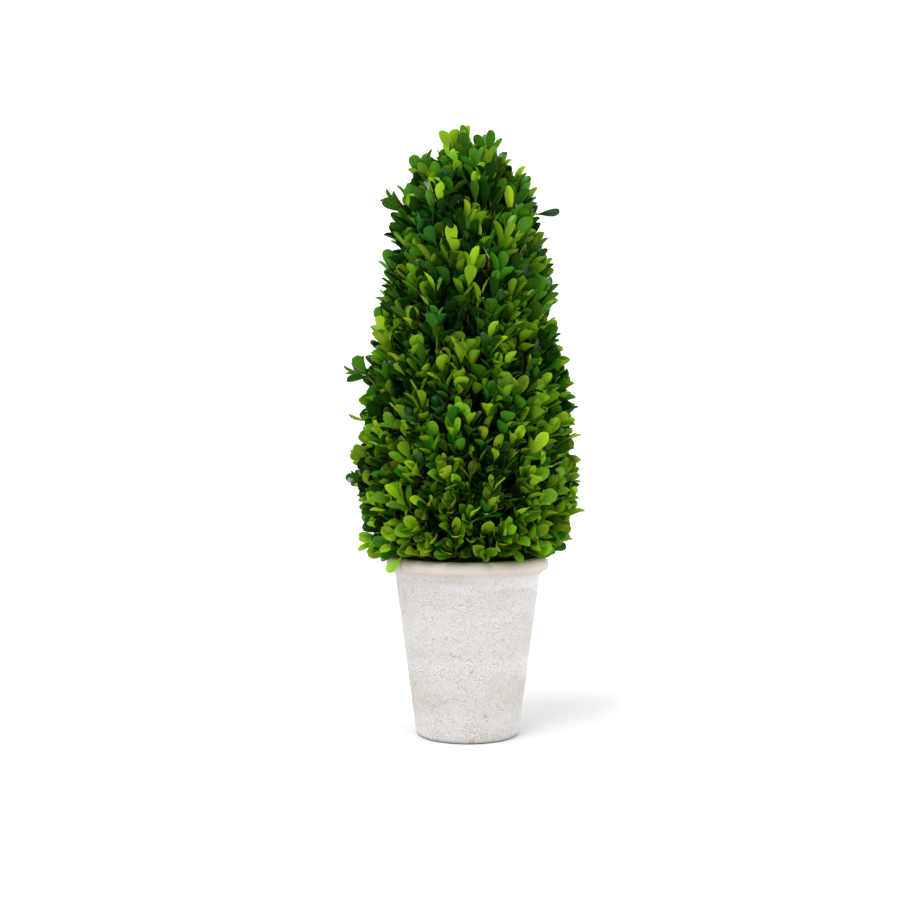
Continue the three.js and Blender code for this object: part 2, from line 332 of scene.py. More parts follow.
def in_scene(name: str, data: bpy.types.ID) -> bpy.types.Object:
    """Make an object for its data and put it in the scene.

    Args:
        name: The object's name.
        data: Its mesh, lamp or camera.

    Returns:
        The object.
    """
    piece = bpy.data.objects.new(name, data)
    bpy.context.scene.collection.objects.link(piece)
    return piece


def mesh_object(
    name: str,
    points: Sequence[Sequence[float]] | np.ndarray,
    faces: Sequence[Sequence[int]] = (),
    edges: Sequence[Sequence[int]] = (),
) -> bpy.types.Object:
    """Make a mesh object at the origin, with smooth faces.

    Args:
        name: The object's name.
        points: Its corners.
        faces: Its faces, as lists of corner numbers.
        edges: Its loose edges.

    Returns:
        The object, in the scene.
    """
    mesh = bpy.data.meshes.new(name)
    mesh.from_pydata([tuple(p) for p in points], [tuple(e) for e in edges], [tuple(f) for f in faces])
    mesh.polygons.foreach_set("use_smooth", [True] * len(mesh.polygons))
    mesh.update()
    return in_scene(name, mesh)


def store(piece: bpy.types.Object, name: str, kind: str, domain: str, values: Iterable[float]) -> None:
    """Store one attribute on a piece's mesh.

    Args:
        piece: The object.
        name: The attribute's name.
        kind: Its data type.
        domain: Where it lives, such as "POINT".
        values: All its numbers in one row.
    """
    attribute = piece.data.attributes.new(name, kind, domain)
    numbers = np.asarray(list(values), dtype=np.float32 if kind != "INT" else np.int32)
    attribute.data.foreach_set("vector" if kind == "FLOAT_VECTOR" else "value", numbers)


def turned_faces(rings: int, sides: int) -> list[tuple[int, int, int, int]]:
    """Join rings of points that run round an axis, from its foot up.

    Args:
        rings: How many rings there are.
        sides: How many points each has.

    Returns:
        The quads between them.
    """
    quads = []
    for ring in range(rings - 1):
        low, high = ring * sides, (ring + 1) * sides
        for side in range(sides):
            after = (side + 1) % sides
            quads.append((low + side, low + after, high + after, high + side))
    return quads


def turned_shell(name: str, profile: Sequence[tuple[float, float]], sides: int) -> bpy.types.Object:
    """Make a closed solid of revolution.

    Args:
        name: The object's name.
        profile: (radius, height) from the axis below, outside and over, back to the axis above.
        sides: How many steps it has round the axis.

    Returns:
        The object.
    """
    inner = profile[1:-1]
    turns = [2 * math.pi * s / sides for s in range(sides)]
    points = [(radius * math.cos(t), radius * math.sin(t), height) for radius, height in inner for t in turns]
    faces: list[tuple[int, ...]] = list(turned_faces(len(inner), sides))
    points += [(0.0, 0.0, profile[0][1]), (0.0, 0.0, profile[-1][1])]
    low, high = len(points) - 2, len(points) - 1
    last = (len(inner) - 1) * sides
    faces += [(low, (s + 1) % sides, s) for s in range(sides)]
    faces += [(high, last + s, last + (s + 1) % sides) for s in range(sides)]
    return mesh_object(name, points, faces)


@dataclass(frozen=True)
class Spot:
    """A speck or stain on the pot's wall: its middle, its radius, how strong it is and its colour."""

    place: tuple[float, float, float]
    radius: float
    strength: float
    colour: str = "a5763f"


@dataclass(frozen=True)
class Band:
    """A level band round the pot's wall with wavy edges: its middle, its half height and how strong it is."""

    middle: float
    half: float
    strength: float


@dataclass(frozen=True)
class ClayFinish:
    """Unglazed clay under a worn limewash: chalky, granular and finely pitted, smoother on the rim.

    A size is the width of a pattern's patches. A span gives the values between which a pattern comes in, and
    the shares beside it say how much it counts at either end.
    """

    wash: str = "d2d0cf"
    thin_wash: str = "c9c4be"
    # chalk colours the chalk dust, the painted highlight on the grains' tops and the painted light under the
    # rim.
    chalk: str = "e4e3e3"
    # The colour of the painted shade in the pits between the grains.
    painted_pit_shade: str = "bab6b1"
    rim_wash: str = "d4ccc4"
    rim_blush: str = "d0c2b8"
    # A paler band in the hollow under the rim: painted light that lifts the rim's shadow there.
    painted_light_neck_band: Band = Band(0.1360, 0.0110, 0.45)
    chalk_band: Band = Band(0.0640, 0.0080, 0.07)
    thin_band: Band = Band(0.0390, 0.0200, 0.16)
    band_wave_size: float = 0.03
    band_wave: float = 0.03
    band_core: float = 0.3
    patch_size: float = 0.045
    patch_stretch: tuple[float, float, float] = (0.45, 0.45, 1.3)
    worn_span: Flat = (0.40, 0.70)
    dust_size: float = 0.012
    dust_span: Flat = (0.38, 0.70)
    dust_shares: Flat = (0.30, 0.80)
    chalk_and_highlight_span: Flat = (0.30, 0.62)
    cloud_size: float = 0.006
    cloud_span: Flat = (0.38, 0.62)
    cloud_shares: Flat = (0.10, 0.80)
    pit_spacing: float = 0.00115
    pit_span: Flat = (0.55, 0.80)
    rim_foot: float = 0.1385
    rim_fade: Flat = (0.002, 0.004)
    rim_pitting: float = 0.12
    rim_wave_size: float = 0.02
    rim_wave: float = 0.006
    blush_size: float = 0.016
    blush_span: Flat = (0.45, 0.68)
    blush_share: float = 0.8
    grain_size: float = 0.0009
    lump_size: float = 0.004
    bump_strength: float = 0.55
    bump_depth: float = 0.0005
    roughness: float = 0.93
    specular: float = 0.25
    spot_grain: float = 0.8
    spot_fray: float = 1.6
    spots: tuple[Spot, ...] = (
        Spot((0.0140, -0.0450, 0.0238), 0.0032, 0.30, "ab9c80"),
        Spot((0.0143, -0.0450, 0.0236), 0.0010, 0.60, "6e6248"),
        Spot((0.0020, -0.0425, 0.0030), 0.0032, 0.36, "b0824e"),
        Spot((-0.0300, 0.0430, 0.0650), 0.0022, 0.5),
    )

    def material(self) -> bpy.types.Material:
        """Make the pot's material.

        Returns:
            The material, with its wall, rim, spots and grain.
        """
        material, wiring, shader = new_material("limewashed_clay", self.roughness, self.specular)
        place = object_places(wiring)
        on_wall, rim_colour = self.rim(wiring, place)
        colour = wiring.blend(on_wall, rim_colour, self.wall(wiring, place))
        for spot in self.spots:
            away = wiring.vector("DISTANCE", {0: place, 1: spot.place}, "Value")
            frayed = wiring.noise(place, spot.radius * self.spot_grain)
            frayed = wiring.times(frayed, spot.radius * self.spot_fray)
            stain = wiring.span(wiring.plus(away, frayed), spot.radius, spot.radius * 2, (spot.strength, 0))
            colour = wiring.blend(stain, colour, linear(spot.colour))
        grain = wiring.times(wiring.noise(place, self.grain_size, detail=4, rough=0.7), on_wall)
        height = wiring.plus(grain, wiring.noise(place, self.lump_size))
        wiring.dress(shader, colour, height, self.bump_strength, self.bump_depth)
        return material

    def wall(self, wiring: Wiring, place: Socket) -> Socket:
        """Mix the wall's colour: worn wash, painted light under the rim, chalk with a painted highlight on
        the grains, painted shade in the pits.

        Args:
            wiring: The wiring of the material's tree.
            place: The socket that says where.

        Returns:
            The colour's socket.
        """
        stretched = wiring.vector("MULTIPLY", {0: place, 1: self.patch_stretch})
        patches = wiring.noise(stretched, self.patch_size, detail=4, rough=0.6)
        worn = wiring.plus(patches, self.ring(wiring, place, self.thin_band))
        worn = wiring.minus(worn, self.ring(wiring, place, self.chalk_band))
        colour = wiring.blend(wiring.span(worn, *self.worn_span), linear(self.wash), linear(self.thin_wash))
        # Painted light: the chalk colour is laid in a band in the hollow under the rim, against the rim's
        # shadow.
        colour = wiring.blend(self.ring(wiring, place, self.painted_light_neck_band), colour, linear(self.chalk))
        cells = wiring.cells(place, self.pit_spacing)
        dust = wiring.noise(place, self.dust_size, detail=4, rough=0.6)
        dust = wiring.plus(dust, wiring.minus(patches, worn))
        dust = wiring.span(dust, *self.dust_span, self.dust_shares)
        # Chalk dust in patches, laid on the grains' tops: partly chalk and partly a painted highlight on the
        # raised grains.
        chalky = wiring.times(wiring.span(cells, *self.chalk_and_highlight_span, (1, 0)), dust)
        colour = wiring.blend(chalky, colour, linear(self.chalk))
        # Painted shade: the pits between the grains, where the mesh's grooves lie, are darkened in patches.
        cloud = wiring.span(wiring.noise(place, self.cloud_size), *self.cloud_span, self.cloud_shares)
        pits = wiring.times(wiring.span(cells, *self.pit_span), cloud)
        return wiring.blend(pits, colour, linear(self.painted_pit_shade))

    def rim(self, wiring: Wiring, place: Socket) -> tuple[Socket, Socket]:
        """Tell the rim from the pitted wall, and mix its colour.

        Args:
            wiring: The wiring of the material's tree.
            place: The socket that says where.

        Returns:
            How far a point is on the wall, and the rim's colour.
        """
        height = self.wavy(wiring, place, self.rim_wave_size, self.rim_wave)
        below, above = self.rim_fade
        low, high = self.rim_foot - below, self.rim_foot + above
        on_wall = wiring.span(height, low, high, (1, self.rim_pitting))
        blush = wiring.noise(place, self.blush_size, detail=4, rough=0.6)
        blush = wiring.span(blush, *self.blush_span, (0, self.blush_share))
        return on_wall, wiring.blend(blush, linear(self.rim_wash), linear(self.rim_blush))

    def ring(self, wiring: Wiring, place: Socket, band: Band) -> Socket:
        """Tell how far a point lies in a level band of the wall.

        Args:
            wiring: The wiring of the material's tree.
            place: The socket that says where.
            band: The band.

        Returns:
            From 0 outside the band to its strength at its middle.
        """
        height = self.wavy(wiring, place, self.band_wave_size, self.band_wave)
        away = wiring.math("ABSOLUTE", wiring.minus(height, band.middle))
        return wiring.times(wiring.span(away, band.half * self.band_core, band.half, (1, 0)), band.strength)

    @staticmethod
    def wavy(wiring: Wiring, place: Socket, size: float, wave: float) -> Socket:
        """Return a point's height, waved up and down by half a wave in patches of a size."""
        shift = wiring.times(wiring.minus(wiring.noise(place, size), 0.5), wave)
        return wiring.plus(wiring.part(place, "Z"), shift)


@dataclass(frozen=True)
class MottledFinish:
    """A rough natural surface in two shades, with a fine bump."""

    name: str
    light: str
    dark: str
    patch: float
    bump: float
    roughness: float = 0.95
    specular: float = 0.2
    patch_span: Flat = (0.35, 0.68)
    bump_strength: float = 0.6

    def material(self) -> bpy.types.Material:
        """Make the finish's material.

        Returns:
            The material.
        """
        material, wiring, shader = new_material(self.name, self.roughness, self.specular)
        cloud = wiring.noise(object_places(wiring), self.patch, detail=5, rough=0.65)
        colour = wiring.blend(wiring.span(cloud, *self.patch_span), linear(self.dark), linear(self.light))
        wiring.dress(shader, colour, cloud, self.bump_strength, self.bump)
        return material


@dataclass(frozen=True)
class PlainFinish:
    """A surface in one plain colour, for pieces too small to carry a pattern and for the floor."""

    name: str
    colour: str
    roughness: float
    specular: float

    def material(self) -> bpy.types.Material:
        """Make the finish's material.

        Returns:
            The material.
        """
        material, _, shader = new_material(self.name, self.roughness, self.specular)
        shader.inputs["Base Color"].default_value = linear(self.colour)
        return material


class Tint(Enum):
    """The greens that sprays are dealt, each with its own upper side and underside, from old to young; the
    inner and deep greens are partly painted shade deep in the crown.
    """

    INNER = "inner"
    DEEP = "deep"
    DARK = "dark"
    SEA = "sea"
    CLEAR = "clear"
    MID = "mid"
    OLIVE = "olive"
    FRESH = "fresh"
    LIME = "lime"


@dataclass(frozen=True)
class LeafFinish:
    """One green of leaves: a glossy upper side, and a paler and duller underside."""

    tint: Tint
    upper: str
    under: str
    roughness: float
    specular: float
    under_roughening: float = 0.2
    under_gloss: float = 0.5

    def materials(self) -> dict[str, bpy.types.Material]:
        """Make the two materials of this green.

        Returns:
            Each material by the input that takes it.
        """
        stem = f"leaf_{self.tint.value}"
        rougher, duller = self.roughness + self.under_roughening, self.specular * self.under_gloss
        return {
            "Upper side": PlainFinish(f"{stem}_upper", self.upper, self.roughness, self.specular).material(),
            "Underside": PlainFinish(f"{stem}_under", self.under, rougher, duller).material(),
        }


LEAF_FINISHES = (
    # The inner green: older leaves deep in the crown, and painted shade there as well.
    LeafFinish(Tint.INNER, "10300a", "1c460e", 0.5, 0.05),
    LeafFinish(Tint.DEEP, "143c08", "28580e", 0.26, 0.25),
    LeafFinish(Tint.DARK, "2c5c0a", "507e14", 0.24, 0.5),
    LeafFinish(Tint.SEA, "1e5e20", "42802a", 0.22, 0.55),
    LeafFinish(Tint.CLEAR, "3c8011", "5e9c22", 0.24, 0.55),
    LeafFinish(Tint.MID, "729e1a", "8eb42a", 0.28, 0.45),
    LeafFinish(Tint.OLIVE, "7e9a26", "9eb436", 0.45, 0.15),
    LeafFinish(Tint.FRESH, "8cbc24", "a8ce34", 0.36, 0.25),
    LeafFinish(Tint.LIME, "a0c028", "b0cc3a", 0.40, 0.2),
)


@dataclass
class ClayPot:
    """The tapered round pot: flat underside, rounded foot, straight wall, soft hollow and rolled rim.

    Its patterns' sizes, spans and shares are meant as those of its finish.
    """

    height: float = 0.152
    base_radius: float = 0.0435
    foot_rounding: float = 0.004
    neck_height: float = 0.135
    neck_radius: float = 0.0615
    rim_radius: float = 0.0695
    rim_roll: float = 0.0065
    roll_start: float = -35.0
    roll_points: int = 16
    cove: float = 0.004
    mouth_radius: float = 0.057
    mouth_rounding: float = 0.0025
    floor_radius: float = 0.036
    floor_thickness: float = 0.011
    sides: int = 440
    step: float = 0.0008
    shortest_step: float = 0.0001
    inner_step: float = 0.009
    curve_points: int = 6
    underside_margin: float = 0.0001
    foot_fade: float = 0.003
    neck_fade: Flat = (0.003, 0.004)
    rim_pitting: float = 0.1
    pit_depth: float = 0.00038
    pit_span: Flat = (0.25, 0.75)
    pit_heights: Flat = (1.0, -0.6)
    patch_size: float = 0.012
    patch_span: Flat = (0.36, 0.6)
    patch_shares: Flat = (0.35, 1.0)
    lump_size: float = 0.005
    swell: float = 0.0007
    swell_size: float = 0.04
    finish: ClayFinish = field(default_factory=ClayFinish)

    def profile(self) -> list[Flat]:
        """Draw the pot's section.

        Returns:
            Closely spaced (radius, height) points, from the middle below to the middle of the inner floor.
        """
        slope = (self.neck_radius - self.base_radius) / self.neck_height
        roll = (self.rim_radius - self.rim_roll, self.height - self.rim_roll)
        start = math.radians(self.roll_start)
        foot_top = (self.base_radius + slope * self.foot_rounding, self.foot_rounding)
        cove = (self.neck_radius + slope * self.cove, self.neck_height + self.cove)
        roll_foot = (roll[0] + self.rim_roll * math.cos(start), roll[1] + self.rim_roll * math.sin(start))
        mouth_start = (self.mouth_radius + self.mouth_rounding, self.height)
        wall_top = (self.mouth_radius, self.height - self.mouth_rounding)
        floor_edge = (self.floor_radius, self.floor_thickness)
        arc = [lerp(start, math.pi / 2, share) for share in np.linspace(0, 1, self.roll_points)]
        runs = [
            self.straight((0, 0), (self.base_radius - self.foot_rounding, 0), self.inner_step),
            self.curve((self.base_radius - self.foot_rounding, 0), (self.base_radius, 0), foot_top),
            self.straight(foot_top, (self.neck_radius, self.neck_height), self.step),
            self.curve((self.neck_radius, self.neck_height), cove, roll_foot),
            [(roll[0] + self.rim_roll * math.cos(t), roll[1] + self.rim_roll * math.sin(t)) for t in arc],
            self.curve(mouth_start, (self.mouth_radius, self.height), wall_top),
            self.straight(wall_top, floor_edge, self.inner_step),
            self.straight(floor_edge, (0, self.floor_thickness), self.inner_step),
        ]
        points = [point for run in runs for point in run]
        return [p for i, p in enumerate(points) if i == 0 or math.dist(p, points[i - 1]) > self.shortest_step]

    @staticmethod
    def straight(start: Flat, end: Flat, step: float) -> list[Flat]:
        """Return points along a straight run, a step apart."""
        count = max(1, round(math.dist(start, end) / step))
        return [tuple(lerp(a, b, i / count) for a, b in zip(start, end)) for i in range(count + 1)]

    def curve(self, start: Flat, bend: Flat, end: Flat) -> list[Flat]:
        """Return points along a quadratic curve that leaves its start towards the bend."""
        return [
            tuple((1 - t) ** 2 * a + 2 * t * (1 - t) * b + t * t * c for a, b, c in zip(start, bend, end))
            for t in np.linspace(0, 1, self.curve_points)
        ]

    def build(self) -> bpy.types.Object:
        """Build the pot, with its pits and swells in the mesh.

        Returns:
            The finished pot.
        """
        shell = turned_shell("clay_pot_shell", self.profile(), self.sides)
        places = np.empty(len(shell.data.vertices) * 3)
        shell.data.vertices.foreach_get("co", places)
        x, y, z = places.reshape(-1, 3).T
        inside = self.mouth_radius + (self.base_radius - self.mouth_radius) * (1 - z / self.height)
        outside = (np.hypot(x, y) > inside) & (z > self.underside_margin)
        store(shell, "outside", "FLOAT", "POINT", outside.astype(float))
        above, fade = self.neck_fade
        on_wall = np.clip((self.neck_height + above - z) / fade, self.rim_pitting, 1)
        store(shell, "pitting", "FLOAT", "POINT", outside * on_wall * np.clip(z / self.foot_fade, 0, 1))
        values = {
            "Pit spacing": self.finish.pit_spacing,
            "Pit depth": self.pit_depth,
            "Swell": self.swell,
            "Clay": self.finish.material(),
        }
        return self.skin().apply(shell, "clay_pot", values)

    def skin(self) -> GeometryTree:
        """Make the tree that pits and gently swells the pot's outside.

        Returns:
            The tree.
        """
        tree = GeometryTree("pitted_clay_skin")
        spacing = tree.take("Pit spacing", "Float")
        depth = tree.take("Pit depth", "Float")
        swell = tree.take("Swell", "Float")
        clay = tree.take("Clay", "Material")
        wiring = tree.wiring
        place = wiring.add("GeometryNodeInputPosition").outputs[0]
        density = wiring.math("DIVIDE", 1.0, spacing)
        pits = wiring.add("ShaderNodeTexVoronoi", {"Vector": place, "Scale": density}, feature="SMOOTH_F1")
        pitted = wiring.span(pits.outputs["Distance"], *self.pit_span, self.pit_heights)
        patches = wiring.span(wiring.noise(place, self.patch_size), *self.patch_span, self.patch_shares)
        lumps = wiring.minus(wiring.noise(place, self.lump_size, rough=0.6), 0.5)
        grain = wiring.plus(wiring.times(pitted, patches), lumps)
        fine = wiring.times(wiring.times(grain, depth), tree.named("pitting", "FLOAT"))
        broad = wiring.times(wiring.minus(wiring.noise(place, self.swell_size, detail=2), 0.5), swell)
        broad = wiring.times(broad, tree.named("outside", "FLOAT"))
        normal = wiring.add("GeometryNodeInputNormal").outputs[0]
        shift = wiring.vector("SCALE", {0: normal, "Scale": wiring.plus(fine, broad)})
        moved = wiring.add("GeometryNodeSetPosition", {"Geometry": tree.entry.outputs[0], "Offset": shift})
        tree.finish(tree.paint(tree.realized(moved), clay))
        return tree


@dataclass
class PottingSoil:
    """The potting mix: a filling with a slightly domed top, strewn with crumbs of bark.

    Crumbs also lie on its hidden side, fewer further down, and reach up to 2 mm into the pot's wall there.
    """

    floor_height: float = 0.0113
    floor_radius: float = 0.0355
    edge_height: float = 0.142
    edge_radius: float = 0.0553
    flat_radius: float = 0.040
    top_height: float = 0.146
    sides: int = 72
    crumb: float = 0.0042
    crumb_sizes: Flat = (0.45, 1.3)
    crumbs_per_square_metre: float = 42000.0
    least_upward: float = 0.5
    slant_shares: Flat = (0.33, 0.66)
    flat_shares: tuple[float, ...] = (1, 0.75, 0.5, 0.25, 0)
    seed: int = 5
    finish: MottledFinish = MottledFinish("potting_mix", "4a3a2a", "1c140e", 0.004, 0.0008)

    def build(self) -> bpy.types.Object:
        """Build the soil with its crumbs, in one piece.

        Returns:
            The finished soil.
        """
        profile = [
            (0.0, self.floor_height),
            (self.floor_radius, self.floor_height),
            (self.edge_radius, self.edge_height),
        ]
        for share in self.slant_shares:
            radius = lerp(self.edge_radius, self.flat_radius, share)
            profile.append((radius, lerp(self.edge_height, self.top_height, share)))
        profile += [(self.flat_radius * share, self.top_height) for share in self.flat_shares]
        filling = turned_shell("soil_filling", profile, self.sides)
        crumb = self.crumb_shape()
        values = {
            "Crumb shape": crumb,
            "Crumb size": self.crumb,
            "Crumbs per square metre": self.crumbs_per_square_metre,
            "Seed": self.seed,
            "Mix": self.finish.material(),
        }
        piece = self.strewing().apply(filling, "potting_soil_top", values)
        bpy.data.objects.remove(crumb)
        return piece

    @staticmethod
    def crumb_shape() -> bpy.types.Object:
        """Build one crumb: a squashed, uneven octahedron about a unit across.

        Returns:
            The crumb.
        """
        waist = [(0.5, 0.1, 0), (-0.45, 0, 0.05), (0, 0.4, -0.05), (0.1, -0.42, 0)]
        points = [*waist, (0.05, 0, 0.3), (0, 0.05, -0.28)]
        sides = [(0, 2, 4), (2, 1, 4), (1, 3, 4), (3, 0, 4), (2, 0, 5), (1, 2, 5), (3, 1, 5), (0, 3, 5)]
        return mesh_object("bark_crumb", points, sides)

    def strewing(self) -> GeometryTree:
        """Make the tree that strews crumbs where the shading looks up.

        That is the top, and the side as well, because the smooth shading at the top's edge runs on down it.

        Returns:
            The tree.
        """
        tree = GeometryTree("strewn_crumbs")
        shape = tree.take("Crumb shape", "Object")
        size = tree.take("Crumb size", "Float")
        density = tree.take("Crumbs per square metre", "Float")
        seed = tree.take("Seed", "Int")
        mix = tree.take("Mix", "Material")
        wiring = tree.wiring
        body = tree.entry.outputs[0]
        normal = wiring.add("GeometryNodeInputNormal").outputs[0]
        top = wiring.math("GREATER_THAN", wiring.part(normal, "Z"), self.least_upward)
        inputs = {"Mesh": body, "Selection": top, "Density": density, "Seed": seed}
        points = wiring.add("GeometryNodeDistributePointsOnFaces", inputs).outputs["Points"]
        inputs = {0: (0, 0, 0), 1: (math.tau, math.tau, math.tau), "Seed": seed}
        turn = wiring.add("FunctionNodeRandomValue", inputs, data_type="FLOAT_VECTOR").outputs[0]
        inputs = {2: self.crumb_sizes[0], 3: self.crumb_sizes[1], "Seed": seed}
        grow = wiring.add("FunctionNodeRandomValue", inputs, data_type="FLOAT").outputs[1]
        crumb = wiring.add("GeometryNodeObjectInfo", {"Object": shape}).outputs["Geometry"]
        inputs = {"Points": points, "Instance": crumb, "Rotation": turn, "Scale": wiring.times(grow, size)}
        strewn = wiring.add("GeometryNodeInstanceOnPoints", inputs)
        joined = wiring.add("GeometryNodeJoinGeometry")
        wiring.tree.links.new(strewn.outputs[0], joined.inputs[0])
        wiring.tree.links.new(body, joined.inputs[0])
        tree.finish(tree.paint(tree.realized(joined), mix))
        return tree


@dataclass(frozen=True)
class Shoot:
    """One leafy shoot: where its twig ends, which way it points and how its leaf pairs are turned."""

    tip: Vector
    direction: Vector
    roll: float
    depth: float
    stray: Stray | None = None


@dataclass(frozen=True)
class Leaf:
    """One leaf: where it leaves its twig, which way it runs, which way its upper side looks, and its size."""

    base: Vector
    along: Vector
    face: Vector
    length: float
    fullness: float = 1.0

    def tip(self) -> Vector:
        """Return the leaf's tip."""
        return self.base + self.along * self.length

    def turn(self) -> Quaternion:
        """Return the turn that lays +X along the leaf with +Z out of its upper side."""
        return Matrix((self.along, self.face.cross(self.along), self.face)).transposed().to_quaternion()

    def scale(self) -> tuple[float, float, float]:
        """Return how much the leaf is scaled along, across and out of its upper side."""
        return self.length, self.length * self.fullness, self.length


@dataclass(frozen=True)
class Stray:
    """A shoot that stands proud of the outline: its place in degrees and metres, its green and its pairs.

    A lone one ends in a single leaf.
    """

    angle: float
    height: float
    reach: float
    rise: float
    tint: Tint
    pairs: int
    roll: float = 45.0
    is_lone: bool = False


@dataclass
class Crown:
    """The clipped outline of the crown, and the seeded rule that deals shoots over it."""

    foot_height: float = 0.155
    foot_radius: float = 0.086
    belly_height: float = 0.225
    belly_radius: float = 0.098
    belly_roundness: float = 1.3
    shoulder_height: float = 0.455
    shoulder_radius: float = 0.063
    tip_height: float = 0.520
    tip_roundness: float = 2.0
    rise_foot: float = -8.0
    rise_tip: float = 86.0
    rise_power: float = 0.4
    top_crowding: float = -0.25
    area_steps: int = 400
    foot_margin: float = 0.003
    tip_margin: float = 0.001
    strays: tuple[Stray, ...] = (
        Stray(181, 0.310, 0.019, 8, Tint.DARK, 2, 50, is_lone=True),
        Stray(182, 0.324, 0.014, 50, Tint.CLEAR, 2, 10, is_lone=True),
        Stray(352, 0.443, 0.014, -2, Tint.SEA, 1, 80, is_lone=True),
        Stray(180, 0.498, 0.006, 72, Tint.CLEAR, 3),
        Stray(186, 0.462, 0.009, 38, Tint.DARK, 2),
        Stray(180, 0.268, 0.010, 2, Tint.OLIVE, 1, 50, is_lone=True),
        Stray(357, 0.197, 0.003, 34, Tint.MID, 2),
        Stray(192, 0.165, 0.009, -4, Tint.FRESH, 2),
        Stray(184, 0.222, 0.007, 20, Tint.DARK, 2),
        Stray(176, 0.246, 0.006, 30, Tint.MID, 2),
        Stray(217, 0.1430, 0.0, -34, Tint.FRESH, 1, -115, is_lone=True),
        Stray(302, 0.159, -0.004, -20, Tint.MID, 1, -90, is_lone=True),
        Stray(60, 0.390, 0.008, 40, Tint.DARK, 2),
        Stray(118, 0.205, 0.008, 10, Tint.FRESH, 2),
        Stray(180, 0.517, 0.006, 87, Tint.FRESH, 2, 20),
        Stray(180, 0.518, 0.000, 89, Tint.FRESH, 2, 70),
        Stray(0, 0.514, 0.007, 86, Tint.CLEAR, 2, 10),
    )

    def radius(self, height: float) -> float:
        """Follow the outline: a rounding foot, a belly that draws in to the shoulder, and a domed tip.

        Args:
            height: The height.

        Returns:
            The outline's radius there.
        """
        if height < self.belly_height:
            share = clamp((height - self.foot_height) / (self.belly_height - self.foot_height))
            return lerp(self.foot_radius, self.belly_radius, math.sin(share * math.pi / 2))
        if height < self.shoulder_height:
            share = (height - self.belly_height) / (self.shoulder_height - self.belly_height)
            return lerp(self.belly_radius, self.shoulder_radius, share**self.belly_roundness)
        share = clamp((height - self.shoulder_height) / (self.tip_height - self.shoulder_height))
        return self.shoulder_radius * (1 - share**self.tip_roundness)

    def narrowing(self, height: float) -> float:
        """Return how fast the outline draws in with height."""
        height = min(height, self.tip_height - 2 * MM)
        return (self.radius(height - MM) - self.radius(height + MM)) / (2 * MM)

    def past(self, point: Vector) -> float:
        """Return how far out of the outline a point lies, level with it."""
        return math.hypot(point.x, point.y) - self.radius(point.z)

    def share(self, height: float) -> float:
        """Return how far up the crown a height is, from 0 to 1."""
        return clamp((height - self.foot_height) / (self.tip_height - self.foot_height))

    def rise(self, height: float) -> float:
        """Return how steeply shoots rise at a height, in radians."""
        return math.radians(lerp(self.rise_foot, self.rise_tip, self.share(height) ** self.rise_power))

    def heights(self, count: int) -> list[float]:
        """Deal shoots by the area of the outline, wider apart near the tip.

        Args:
            count: How many shoots there are.

        Returns:
            The height of each, from the foot up.
        """
        steps = self.area_steps
        foot, tip = self.foot_height + self.foot_margin, self.tip_height - self.tip_margin
        levels = [lerp(foot, tip, step / steps) for step in range(steps + 1)]
        areas = [0.0]
        for step in range(1, steps + 1):
            low, high = levels[step - 1], levels[step]
            slope = math.hypot(high - low, self.radius(high) - self.radius(low))
            crowding = 1 + self.top_crowding * (step / steps) ** 2
            areas.append(areas[-1] + slope * (self.radius(low) + self.radius(high)) * crowding)
        wanted = [(i + 0.5) / count * areas[-1] for i in range(count)]
        return [float(h) for h in np.interp(wanted, areas, levels)]

    def place(
        self, angle: float, height: float, radius: float, rise: float, back: float
    ) -> tuple[Vector, Vector]:
        """Place a shoot so that its leaves' tips lie at a point of the outline.

        Args:
            angle: The point's angle round the stem, in radians.
            height: Its height.
            radius: Its distance from the axis.
            rise: How steeply the shoot rises, in radians.
            back: How far the leaves' tips reach past the shoot's own tip.

        Returns:
            The shoot's tip and its direction.
        """
        outward = Vector((math.cos(angle), math.sin(angle), 0))
        direction = outward * math.cos(rise) + UP * math.sin(rise)
        return outward * radius + UP * height - direction * back, direction


